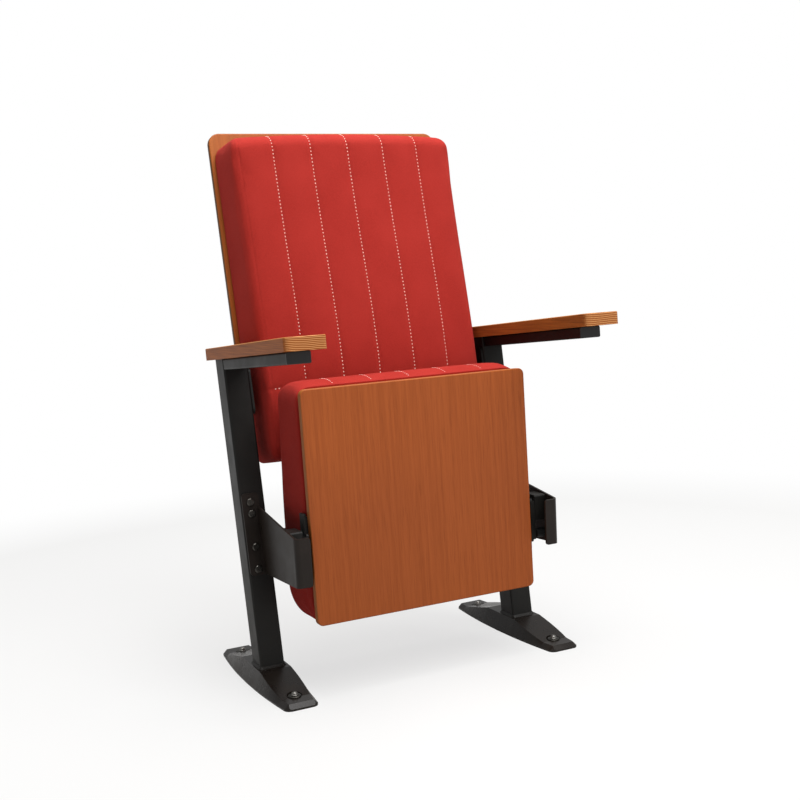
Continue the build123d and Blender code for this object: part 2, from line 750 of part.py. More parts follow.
with BuildPart() as seat_board:
    with BuildSketch(seat_face.offset(-seat_panel_thickness)):
        with Locations((0, panel_middle)):
            RectangleRounded(
                seat_width - 2 * seat_board_inset, seat_panel_height - 2 * seat_board_inset,
                seat_panel_corner - seat_board_inset,
            )
    extrude(amount=-seat_board_thickness)
    for side_name, side in SIDES:
        with BuildSketch(seat_face.offset(-seat_panel_thickness)):
            with Locations((side * (hinge_out_x + foot_in_x) / 2, (hinge_strip_above - hinge_strip_below) / 2)):
                Rectangle(hinge_foot_reach, hinge_strip_above + hinge_strip_below - 2 * hinge_corner)
        extrude(amount=-hinge_plate_thickness, mode=Mode.SUBTRACT)
    with BuildSketch(seat_face.offset(-seat_panel_thickness)):
        with Locations(*hinge_screw_points):
            Circle(hinge_screw_radius)
    extrude(amount=-hinge_screw_length, mode=Mode.SUBTRACT)
    with BuildSketch(seat_face.offset(-seat_panel_thickness)):
        with Locations((0, panel_middle)):
            with GridLocations(clip_spread, clip_rise, 2, clip_rows):
                Circle(clip_radius)
    extrude(amount=-clip_depth, mode=Mode.SUBTRACT)
seat_board.part.label = "seat_board"
export_step(seat_board.part, "parts/seat_board.step")

with BuildPart() as panel_clips:
    with BuildSketch(seat_face.offset(-seat_panel_thickness)):
        with Locations((0, panel_middle)):
            with GridLocations(clip_spread, clip_rise, 2, clip_rows):
                Circle(clip_radius)
    extrude(amount=clip_depth, both=True)
panel_clips.part.label = "panel_clips"
export_step(panel_clips.part, "parts/panel_clips.step")


# ---------------------------------------------------------------- cushions
def cushion_section(face, height, base, surface, crown, half_width, base_half):
    """One slice across a cushion: flat on its board, straight sides, a crowned and sewn surface."""
    out = 1 if surface > base else -1
    corner = min(cushion_corner, abs(surface - base) * cushion_corner_share)
    flat = half_width - corner
    knee = corner * (1 - sqrt(0.5))

    def depth(x):
        return surface + out * crown * (1 - (x / flat) ** 2)

    seams = [sewn_pitch * (index - (sewn_lines - 1) / 2) for index in range(sewn_lines)]
    sewn = [(x, depth(x) - out * sewn_depth) for x in seams]
    row = [(-flat, surface)] + sewn + [(flat, surface)]
    with BuildSketch(section_plane(face, height)) as slice_of_cushion:
        with BuildLine():
            Line((base_half, base), (-base_half, base))
            Line((-base_half, base), (-half_width, surface - out * corner))
            ThreePointArc(
                (-half_width, surface - out * corner), (-half_width + knee, surface - out * knee), (-flat, surface)
            )
            for (x0, d0), (x1, d1) in zip(row, row[1:]):
                middle = (x0 + x1) / 2
                puffed = max(depth(middle) * out, (d0 + d1) / 2 * out + least_puff) * out
                ThreePointArc((x0, d0), (middle, puffed), (x1, d1))
            ThreePointArc(
                (flat, surface), (half_width - knee, surface - out * knee), (half_width, surface - out * corner)
            )
            Line((half_width, surface - out * corner), (base_half, base))
        make_face()
    return slice_of_cushion.sketch


def end_rounding(radius):
    """Pairs of distance from an end and share of roundness left there, down a quarter round."""
    quarter = [pi / 2 * step / end_steps for step in range(end_steps)]
    return [(radius * (1 - cos(angle)), 1 - sin(angle)) for angle in quarter]


seat_cushion_low = -seat_panel_below_pivot
seat_cushion_high = seat_panel_height - seat_panel_below_pivot + seat_padding_rise
seat_cushion_length = seat_cushion_high - seat_cushion_low
seat_cushion_half = hinge_x - cushion_side_gap
seat_cushion_base = seat_panel_thickness + seat_board_thickness


def seat_surface(height):
    """How far the sitting surface is behind the panel's face, thickest towards the rear."""
    share = (height - seat_cushion_low) / seat_cushion_length
    return seat_thickness - seat_padding_taper * (share - seat_padding_peak) ** 2


def drawn_in(height, low, length):
    """How much a side pulls in between its corners."""
    return side_draw_in * (1 - (2 * (height - low) / length - 1) ** 2)


def seat_slice(height, left_over, end_radius, side_radius):
    """A slice of the seat cushion, with the roundness still to go at its front or rear."""
    drawn = drawn_in(height, seat_cushion_low, seat_cushion_length) * (1 - left_over)
    half_width = seat_cushion_half - side_radius * left_over - drawn
    return cushion_section(
        seat_face, height, seat_cushion_base, seat_surface(height) - end_radius * left_over,
        seat_crown * (1 - left_over), half_width, half_width,
    )


low = seat_cushion_low + seat_rear_radius
high = seat_cushion_high - seat_front_radius
seat_slices = [
    seat_slice(seat_cushion_low + reach, left_over, seat_rear_radius, seat_rear_side_radius)
    for reach, left_over in end_rounding(seat_rear_radius)
]
seat_slices += [seat_slice(low + (high - low) * step / middle_steps, 0, 0, 0) for step in range(middle_steps + 1)]
seat_slices += [
    seat_slice(seat_cushion_high - reach, left_over, seat_front_radius, seat_front_side_radius)
    for reach, left_over in reversed(end_rounding(seat_front_radius))
]

with BuildPart() as seat_cushion:
    loft(seat_slices, ruled=True)
seat_cushion.part.label = "seat_cushion"
export_step(seat_cushion.part, "parts/seat_cushion.step")


def lumbar(height):
    """Share of the lumbar swell at a height up the back, from 0 at both ends to 1."""
    share = min(max(height / back_height, 0.0), 1.0)
    return sin(pi * share ** back_lumbar_shape) ** 2


def back_slice(height, left_over):
    """A slice of the back cushion, with the roundness still to go at its top or foot."""
    swell = lumbar(height)
    outer_half = back_width / 2 - back_corner_radius * left_over
    return cushion_section(
        back_face, height, back_depth, back_edge_radius * left_over - back_lumbar_edge * swell,
        back_crown * (1 - left_over) + (back_lumbar_middle - back_lumbar_edge) * swell,
        outer_half - drawn_in(height, 0, back_height) * (1 - left_over), outer_half + back_flare,
    )


back_board_size = (back_width - 2 * back_board_inset, back_height - 2 * back_board_inset)
low = back_edge_radius
high = back_height - back_edge_radius
back_slices = [back_slice(reach, left_over) for reach, left_over in end_rounding(back_edge_radius)]
back_slices += [back_slice(low + (high - low) * step / middle_steps, 0) for step in range(middle_steps + 1)]
back_slices += [
    back_slice(back_height - reach, left_over) for reach, left_over in reversed(end_rounding(back_edge_radius))
]

with BuildPart() as back_cushion:
    loft(back_slices, ruled=True)
    with BuildSketch(back_face.offset(-back_padding)):
        with Locations((0, back_height / 2)):
            RectangleRounded(*back_board_size, back_shell_corner)
    extrude(amount=-back_board_thickness, mode=Mode.SUBTRACT)
back_cushion.part.label = "back_cushion"
export_step(back_cushion.part, "parts/back_cushion.step")

# ---------------------------------------------------------------- back shell, board and fasteners
flange_in_x = leg_in_x - back_bracket_reach
shell_bolt_rise = (back_bracket_high - back_bracket_low - 2 * shell_bolt_margin) / (shell_bolt_count - 1)
shell_bolt_points = [
    (side * (flange_in_x + shell_bolt_margin), back_bracket_low + shell_bolt_margin + shell_bolt_rise * index)
    for _, side in SIDES
    for index in range(shell_bolt_count)
]
shell_low = -back_shell_drop
shell_high = back_height + back_shell_rise

with BuildPart() as back_shell:
    with BuildSketch(back_face.offset(-back_depth)):
        with Locations((0, (shell_low + shell_high) / 2)):
            RectangleRounded(shell_width, shell_high - shell_low, back_shell_corner)
    extrude(amount=-back_shell_thickness)
    fillet(faces().sort_by(Axis.Y)[-1].edges(), back_shell_edge)
    with BuildSketch(back_face.offset(-back_depth)):
        with Locations(*shell_bolt_points):
            Circle(shell_bolt_radius)
    extrude(amount=-back_shell_thickness, mode=Mode.SUBTRACT)
back_shell.part.label = "back_shell"
export_step(back_shell.part, "parts/back_shell.step")

with BuildPart() as back_board:
    with BuildSketch(back_face.offset(-back_padding)):
        with Locations((0, back_height / 2)):
            RectangleRounded(*back_board_size, back_shell_corner)
    extrude(amount=-back_board_thickness)
    with BuildSketch(back_face.offset(-back_padding)):
        with Locations(*shell_bolt_points):
            Circle(tee_nut_radius)
    extrude(amount=-back_board_thickness, mode=Mode.SUBTRACT)
    with BuildSketch(back_face.offset(-back_padding)):
        with Locations(*shell_bolt_points):
            Circle(tee_nut_flange)
    extrude(amount=-tee_nut_flange_thickness, mode=Mode.SUBTRACT)
back_board.part.label = "back_board"
export_step(back_board.part, "parts/back_board.step")

with BuildPart() as back_tee_nuts:
    with BuildSketch(back_face.offset(-back_padding)):
        with Locations(*shell_bolt_points):
            Circle(tee_nut_flange)
            Circle(shell_bolt_radius, mode=Mode.SUBTRACT)
    extrude(amount=-tee_nut_flange_thickness)
    with BuildSketch(back_face.offset(-back_padding)):
        with Locations(*shell_bolt_points):
            Circle(tee_nut_radius)
            Circle(shell_bolt_radius, mode=Mode.SUBTRACT)
    extrude(amount=-back_board_thickness)
back_tee_nuts.part.label = "back_tee_nuts"
export_step(back_tee_nuts.part, "parts/back_tee_nuts.step")

shell_rear = back_face.offset(-(back_depth + back_shell_thickness + back_bracket_plate))
with BuildPart() as shell_bolts:
    with BuildSketch(shell_rear):
        with Locations(*shell_bolt_points):
            Circle(shell_bolt_head)
    extrude(amount=-shell_bolt_head_height)
    with BuildSketch(shell_rear):
        with Locations(*shell_bolt_points):
            Circle(shell_bolt_radius)
    extrude(amount=back_bracket_plate + back_shell_thickness + back_board_thickness)
shell_bolts.part.label = "shell_bolts"
export_step(shell_bolts.part, "parts/shell_bolts.step")

# ---------------------------------------------------------------- back brackets on the legs
bracket_back = back_depth + back_shell_thickness + back_bracket_plate
bracket_mid_height = (back_bracket_low + back_bracket_high) / 2
back_bolt_heights = (back_bracket_low + back_bolt_margin, back_bracket_high - back_bolt_margin)
back_bolt_points = [(back_bolt_depth, height) for height in back_bolt_heights]

for side_name, side in SIDES:
    with BuildPart() as back_bracket:
        with BuildSketch(side_plane(back_face, side * leg_in_x)):
            with Locations(((back_bracket_front + bracket_back) / 2, bracket_mid_height)):
                RectangleRounded(
                    bracket_back - back_bracket_front, back_bracket_high - back_bracket_low, bracket_corner
                )
            with Locations((bracket_back - bracket_corner, bracket_mid_height)):
                Rectangle(2 * bracket_corner, back_bracket_high - back_bracket_low)
        extrude(amount=-side * back_bracket_plate)
        with BuildSketch(back_face.offset(-(back_depth + back_shell_thickness))):
            with Locations((side * (flange_in_x + leg_in_x) / 2, bracket_mid_height)):
                Rectangle(back_bracket_reach, back_bracket_high - back_bracket_low)
        extrude(amount=-back_bracket_plate)
        with BuildSketch(side_plane(back_face, side * leg_in_x)):
            with Locations(*back_bolt_points):
                Circle(bolt_radius + bolt_clearance)
        extrude(amount=-side * back_bracket_plate, mode=Mode.SUBTRACT)
        with BuildSketch(back_face.offset(-(back_depth + back_shell_thickness))):
            with Locations(*[point for point in shell_bolt_points if point[0] * side > 0]):
                Circle(shell_bolt_radius)
        extrude(amount=-back_bracket_plate, mode=Mode.SUBTRACT)
    back_bracket.part.label = f"back_bracket_{side_name}"
    export_step(back_bracket.part, f"parts/back_bracket_{side_name}.step")

with BuildPart() as back_bracket_bolts:
    for side_name, side in SIDES:
        inner_side = side_plane(back_face, side * (leg_in_x - back_bracket_plate))
        with BuildSketch(inner_side):
            with Locations(*back_bolt_points):
                Circle(bolt_head_radius)
        extrude(amount=-side * bolt_head_height)
        with BuildSketch(inner_side):
            with Locations(*back_bolt_points):
                Circle(bolt_radius)
        extrude(amount=side * (back_bracket_plate + leg_wall + bolt_grip))
back_bracket_bolts.part.label = "back_bracket_bolts"
export_step(back_bracket_bolts.part, "parts/back_bracket_bolts.step")

with BuildPart() as back_bracket_nuts:
    for side_name, side in SIDES:
        with BuildSketch(side_plane(back_face, side * (leg_in_x + leg_wall))):
            with Locations(*back_bolt_points):
                RegularPolygon(nut_radius, 6)
                Circle(bolt_radius, mode=Mode.SUBTRACT)
        extrude(amount=side * nut_length)
back_bracket_nuts.part.label = "back_bracket_nuts"
export_step(back_bracket_nuts.part, "parts/back_bracket_nuts.step")
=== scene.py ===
"""A tip-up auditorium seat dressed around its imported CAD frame, for a plain studio picture.

The frame brings every rigid solid in metres with the seat tipped up: X runs across the seat,
the front faces -Y and Z is up. This script adds the sewn covers of the two cushions, their stitching
and the heads of the floor anchors, gives each piece its real material, and sets lamps and camera.
"""

import json
import logging
import math
from collections.abc import Mapping, Sequence
from dataclasses import dataclass, field
from enum import Enum

import bmesh
import bpy
import numpy as np
from mathutils import Matrix, Vector
from mathutils.bvhtree import BVHTree

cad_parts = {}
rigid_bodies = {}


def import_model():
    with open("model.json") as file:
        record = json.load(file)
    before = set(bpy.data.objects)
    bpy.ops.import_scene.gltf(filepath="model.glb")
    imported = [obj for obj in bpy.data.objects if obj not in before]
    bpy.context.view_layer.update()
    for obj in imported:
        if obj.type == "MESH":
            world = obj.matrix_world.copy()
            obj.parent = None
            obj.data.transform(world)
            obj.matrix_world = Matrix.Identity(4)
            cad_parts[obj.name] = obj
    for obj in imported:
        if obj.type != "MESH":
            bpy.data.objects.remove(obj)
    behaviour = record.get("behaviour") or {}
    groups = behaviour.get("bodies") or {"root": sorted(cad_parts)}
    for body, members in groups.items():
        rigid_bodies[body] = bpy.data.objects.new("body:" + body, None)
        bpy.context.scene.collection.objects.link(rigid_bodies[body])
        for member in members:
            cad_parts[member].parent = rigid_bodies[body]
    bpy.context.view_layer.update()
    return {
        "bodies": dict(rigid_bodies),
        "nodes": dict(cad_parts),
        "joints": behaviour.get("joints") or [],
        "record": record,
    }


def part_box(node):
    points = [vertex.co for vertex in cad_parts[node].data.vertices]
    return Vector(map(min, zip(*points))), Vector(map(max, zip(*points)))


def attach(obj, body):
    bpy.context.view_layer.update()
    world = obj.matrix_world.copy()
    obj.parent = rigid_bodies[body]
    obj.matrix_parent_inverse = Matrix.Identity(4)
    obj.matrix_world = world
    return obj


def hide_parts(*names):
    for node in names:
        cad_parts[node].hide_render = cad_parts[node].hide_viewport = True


MM = 0.001
FULL_TURN = 2 * math.pi
TINY = 1e-9  # keeps a length of zero out of a division
LOG = logging.getLogger("seat")

# Sockets of Blender's colour mix: its share, its two colours and what comes out.
SHARE, FIRST, SECOND, MIXED = 0, 6, 7, 2

Settings = Mapping[str, object]
Links = Mapping[object, object]
Socket = bpy.types.NodeSocket


class Body(Enum):
    """The two bodies that move against each other."""

    STAND = "stand"
    SEAT = "seat"


class Slot(Enum):
    """The record's material slots, each with its own finish."""

    CLOTH = "red_wool"
    PANEL = "panel_veneer"
    SHELL = "shell_veneer"
    ARM = "arm_timber"
    PLY = "birch_ply"
    POWDER = "black_powder"
    RUBBER = "black_rubber"
    NYLON = "nylon"
    PLASTIC = "black_plastic"
    GROUND = "ground_steel"
    SPRING = "spring_steel"
    OXIDE = "black_oxide_steel"
    ZINC = "zinc_steel"


class Axis(Enum):
    """Directions of the frame, by their place in a vector."""

    ACROSS = 0
    DEEP = 1
    UP = 2


# ---------------------------------------------------------------- colours and nodes
def linear(colour: str) -> tuple[float, float, float, float]:
    """Turns an sRGB colour into linear light, by the curve of the sRGB standard.

    Args:
        colour: A hash sign and six hex digits.

    Returns:
        Red, green, blue and an alpha of one.
    """
    parts = [int(colour[start:start + 2], 16) / 255 for start in (1, 3, 5)]
    red, green, blue = [
        part / 12.92 if part <= 0.04045 else ((part + 0.055) / 1.055) ** 2.4 for part in parts
    ]
    return red, green, blue, 1.0


def fill_inputs(tree: bpy.types.NodeTree, node: bpy.types.Node, inputs: Links) -> None:
    """Gives inputs of a node their values, and links those that another node feeds.

    Args:
        tree: The tree that holds the node.
        node: The node, which is changed.
        inputs: A value or another node's output for each input, by its name or its place.
    """
    for place, value in inputs.items():
        if isinstance(value, Socket):
            tree.links.new(value, node.inputs[place])
        else:
            node.inputs[place].default_value = value


def add_node(
    tree: bpy.types.NodeTree, kind: str, settings: Settings | None = None, inputs: Links | None = None
) -> bpy.types.Node:
    """Adds one node to a tree.

    Args:
        tree: The tree that gets the node.
        kind: Blender's name for the kind of node.
        settings: Attributes of the node and their values.
        inputs: A value or another node's output for each input, by its name or its place.

    Returns:
        The new node.
    """
    node = tree.nodes.new(kind)
    for name, value in (settings or {}).items():
        setattr(node, name, value)
    fill_inputs(tree, node, inputs or {})
    return node


@dataclass(frozen=True)
class Finish:
    """What every finish shares: a name, and a shader with values that are the same all over."""

    name: str

    def start(self) -> tuple[bpy.types.Material, bpy.types.NodeTree, bpy.types.Node]:
        """Makes the empty material.

        Returns:
            The material, its node tree and its Principled shader, linked to the output.
        """
        material = bpy.data.materials.new(self.name)
        material.use_nodes = True
        tree = material.node_tree
        tree.nodes.clear()
        shader = add_node(tree, "ShaderNodeBsdfPrincipled")
        add_node(tree, "ShaderNodeOutputMaterial", None, {"Surface": shader.outputs["BSDF"]})
        return material, tree, shader

    def leaning(self, tree: bpy.types.NodeTree, lean: float) -> tuple[Socket, Socket]:
        """Gives the place and the facing of a surface in the directions of a piece that leans back.

        Args:
            tree: The material's node tree.
            lean: How far the piece leans, in degrees.

        Returns:
            The outputs for the place and for the facing.
        """
        coord = add_node(tree, "ShaderNodeTexCoord")
        turn = (math.radians(lean), 0.0, 0.0)
        spot, facing = (
            add_node(tree, "ShaderNodeMapping", None, {"Vector": coord.outputs[kind], "Rotation": turn})
            for kind in ("Object", "Normal")
        )
        return spot.outputs[0], facing.outputs[0]

    def build(self) -> bpy.types.Material:
        """Builds the material of this finish."""
        raise NotImplementedError


@dataclass(frozen=True)
class WovenCloth(Finish):
    """Piece-dyed wool and nylon upholstery cloth in a plain weave.

    Wool scatters light inside its yarn, so it is matt, and its loose fibres light up a little at
    glancing angles. The yarns are 0.8 mm apart in such a cloth; they are drawn twice as coarse,
    or the picture would not show them.
    """

    name: str = "woven_wool_nylon_cloth"
    yarn: str = "#A52B23"
    deep_yarn: str = "#871F1A"
    bright_yarn: str = "#AF3129"
    fibre_sheen: str = "#E88078"
    thread_mm: float = 1.6
    melange_mm: float = 2.4
    drift_mm: float = 70.0
    relief_mm: float = 0.35
    lean: float = 0.0

    def build(self) -> bpy.types.Material:
        """Builds the cloth, woven along the cushion's own directions, with painted shade in the weave's
        hollows.

        Returns:
            The material.
        """
        material, tree, shader = self.start()
        spot, facing = self.leaning(tree, self.lean)
        pitch = FULL_TURN / (self.thread_mm * MM)
        phase = add_node(
            tree, "ShaderNodeVectorMath", {"operation": "MULTIPLY"}, {0: spot, 1: (pitch, pitch, pitch)}
        )
        wave = add_node(tree, "ShaderNodeVectorMath", {"operation": "SINE"}, {0: phase.outputs[0]})
        parts = add_node(tree, "ShaderNodeSeparateXYZ", None, {0: wave.outputs[0]})
        x, y, z = parts.outputs
        along = add_node(tree, "ShaderNodeCombineXYZ", None, {0: y, 1: z, 2: x})
        athwart = add_node(tree, "ShaderNodeCombineXYZ", None, {0: z, 1: x, 2: y})
        crossing = add_node(
            tree, "ShaderNodeVectorMath", {"operation": "MULTIPLY"},
            {0: along.outputs[0], 1: athwart.outputs[0]},
        )
        squared = add_node(tree, "ShaderNodeVectorMath", {"operation": "MULTIPLY"}, {0: facing, 1: facing})
        weave = add_node(
            tree, "ShaderNodeVectorMath", {"operation": "DOT_PRODUCT"},
            {0: crossing.outputs[0], 1: squared.outputs[0]},
        )
        melange = add_node(
            tree, "ShaderNodeTexNoise", None,
            {"Vector": spot, "Scale": 1 / (self.melange_mm * MM), "Detail": 3.0},
        )
        drift = add_node(
            tree, "ShaderNodeTexNoise", None,
            {"Vector": spot, "Scale": 1 / (self.drift_mm * MM), "Detail": 2.0},
        )
        deep = add_node(
            tree, "ShaderNodeMapRange", None,
            {"Value": melange.outputs[0], "From Min": 0.35, "From Max": 0.7, "To Min": 0.0, "To Max": 0.45},
        )
        yarns = add_node(
            tree, "ShaderNodeMix", {"data_type": "RGBA"},
            {SHARE: deep.outputs[0], FIRST: linear(self.yarn), SECOND: linear(self.deep_yarn)},
        )
        worn = add_node(
            tree, "ShaderNodeMapRange", None,
            {"Value": drift.outputs[0], "From Min": 0.35, "From Max": 0.75, "To Min": 0.0, "To Max": 0.5},
        )
        aired = add_node(
            tree, "ShaderNodeMix", {"data_type": "RGBA"},
            {SHARE: worn.outputs[0], FIRST: yarns.outputs[MIXED], SECOND: linear(self.bright_yarn)},
        )
        # Painted shade: the weave's hollows are mixed towards the deep yarn colour.
        painted_weave_shade = add_node(
            tree, "ShaderNodeMapRange", None,
            {"Value": weave.outputs["Value"], "From Min": -1.0, "From Max": 0.4,
             "To Min": 0.35, "To Max": 0.0},
        )
        cloth = add_node(
            tree, "ShaderNodeMix", {"data_type": "RGBA"},
            {SHARE: painted_weave_shade.outputs[0], FIRST: aired.outputs[MIXED], SECOND: linear(self.deep_yarn)},
        )
        bump = add_node(
            tree, "ShaderNodeBump", None,
            {"Height": weave.outputs["Value"], "Distance": self.relief_mm * MM, "Strength": 0.5},
        )
        fill_inputs(tree, shader, {
            "Base Color": cloth.outputs[MIXED],
            "Normal": bump.outputs[0],
            "Roughness": 0.88,
            "Specular IOR Level": 0.12,
            "Sheen Weight": 0.08,
            "Sheen Roughness": 0.45,
            "Sheen Tint": linear(self.fibre_sheen),
        })
        return material


@dataclass(frozen=True)
class LacqueredVeneer(Finish):
    """A stained veneer on plywood under satin lacquer.

    The veneer is open-pored, so its grain shows as long thin dark streaks in a softer figure, and
    the lacquer gives it a wide soft gloss. The cut edges show the ply layers. Real pores are about
    0.3 mm wide; they are drawn three times as coarse, or the picture would not show them.
    """

    light: str = "#AF5B2B"
    mid: str = "#A4542A"
    dark: str = "#8F451F"
    pore: str = "#6E3419"
    edge_light: str = "#A9652F"
    edge_dark: str = "#8F4F27"
    pore_mm: float = 0.9
    pore_length_mm: float = 46.0
    figure_mm: float = 6.0
    figure_length_mm: float = 380.0
    drift_mm: float = 240.0
    layer_mm: float = 2.4
    relief_mm: float = 0.08
    lean: float = 0.0
    grain: Axis = Axis.UP
    roughness: float = 0.42
    uneven: tuple[float, float] = (-0.05, 0.08)
    pores: float = 0.42

    def build(self) -> bpy.types.Material:
        """Builds the veneer with its grain along one direction, and the layers on its edges.

        Returns:
            The material.
        """
        material, tree, shader = self.start()
        spot, facing = self.leaning(tree, self.lean)
        streaks = [1 / (self.pore_mm * MM)] * 3
        streaks[self.grain.value] = 1 / (self.pore_length_mm * MM)
        bands = [1 / (self.figure_mm * MM)] * 3
        bands[self.grain.value] = 1 / (self.figure_length_mm * MM)
        fine = add_node(tree, "ShaderNodeVectorMath", {"operation": "MULTIPLY"}, {0: spot, 1: streaks})
        coarse = add_node(tree, "ShaderNodeVectorMath", {"operation": "MULTIPLY"}, {0: spot, 1: bands})
        pore = add_node(
            tree, "ShaderNodeTexNoise", None, {"Vector": fine.outputs[0], "Scale": 1.0, "Detail": 2.0}
        )
        figure = add_node(
            tree, "ShaderNodeTexNoise", None, {"Vector": coarse.outputs[0], "Scale": 1.0, "Detail": 4.0}
        )
        drift = add_node(
            tree, "ShaderNodeTexNoise", None,
            {"Vector": spot, "Scale": 1 / (self.drift_mm * MM), "Detail": 1.0},
        )
        warm = add_node(
            tree, "ShaderNodeMapRange", None,
            {"Value": drift.outputs[0], "From Min": 0.25, "From Max": 0.75, "To Min": 0.0, "To Max": 1.0},
        )
        ground = add_node(
            tree, "ShaderNodeMix", {"data_type": "RGBA"},
            {SHARE: warm.outputs[0], FIRST: linear(self.mid), SECOND: linear(self.light)},
        )
        shade = add_node(
            tree, "ShaderNodeMapRange", None,
            {"Value": figure.outputs[0], "From Min": 0.4, "From Max": 0.7, "To Min": 0.0, "To Max": 0.45},
        )
        figured = add_node(
            tree, "ShaderNodeMix", {"data_type": "RGBA"},
            {SHARE: shade.outputs[0], FIRST: ground.outputs[MIXED], SECOND: linear(self.dark)},
        )
        open_pore = add_node(
            tree, "ShaderNodeMapRange", None,
            {"Value": pore.outputs[0], "From Min": 0.52, "From Max": 0.72,
             "To Min": 0.0, "To Max": self.pores},
        )
        faced = add_node(
            tree, "ShaderNodeMix", {"data_type": "RGBA"},
            {SHARE: open_pore.outputs[0], FIRST: figured.outputs[MIXED], SECOND: linear(self.pore)},
        )
        depth = add_node(tree, "ShaderNodeSeparateXYZ", None, {0: spot})
        layer = add_node(
            tree, "ShaderNodeMath", {"operation": "MULTIPLY"},
            {0: depth.outputs[Axis.DEEP.value], 1: FULL_TURN / (self.layer_mm * MM)},
        )
        layers = add_node(tree, "ShaderNodeMath", {"operation": "SINE"}, {0: layer.outputs[0]})
        ply = add_node(
            tree, "ShaderNodeMapRange", None,
            {"Value": layers.outputs[0], "From Min": -0.4, "From Max": 0.6, "To Min": 0.0, "To Max": 1.0},
        )
        cut = add_node(
            tree, "ShaderNodeMix", {"data_type": "RGBA"},
            {SHARE: ply.outputs[0], FIRST: linear(self.edge_light), SECOND: linear(self.edge_dark)},
        )
        square = add_node(tree, "ShaderNodeSeparateXYZ", None, {0: facing})
        flat = add_node(
            tree, "ShaderNodeMath", {"operation": "ABSOLUTE"}, {0: square.outputs[Axis.DEEP.value]}
        )
        edge = add_node(
            tree, "ShaderNodeMapRange", None,
            {"Value": flat.outputs[0], "From Min": 0.55, "From Max": 0.75, "To Min": 1.0, "To Max": 0.0},
        )
        whole = add_node(
            tree, "ShaderNodeMix", {"data_type": "RGBA"},
            {SHARE: edge.outputs[0], FIRST: faced.outputs[MIXED], SECOND: cut.outputs[MIXED]},
        )
        bump = add_node(
            tree, "ShaderNodeBump", {"invert": True},
            {"Height": open_pore.outputs[0], "Distance": self.relief_mm * MM, "Strength": 0.6},
        )
        rough = add_node(
            tree, "ShaderNodeMapRange", None,
            {"Value": pore.outputs[0], "From Min": 0.3, "From Max": 0.7,
             "To Min": self.roughness + self.uneven[0], "To Max": self.roughness + self.uneven[1]},
        )
        fill_inputs(tree, shader, {
            "Base Color": whole.outputs[MIXED],
            "Roughness": rough.outputs[0],
            "Normal": bump.outputs[0],
            "Specular IOR Level": 0.12,
            "Coat Weight": 0.03,
            "Coat Roughness": 0.3,
        })
        return material


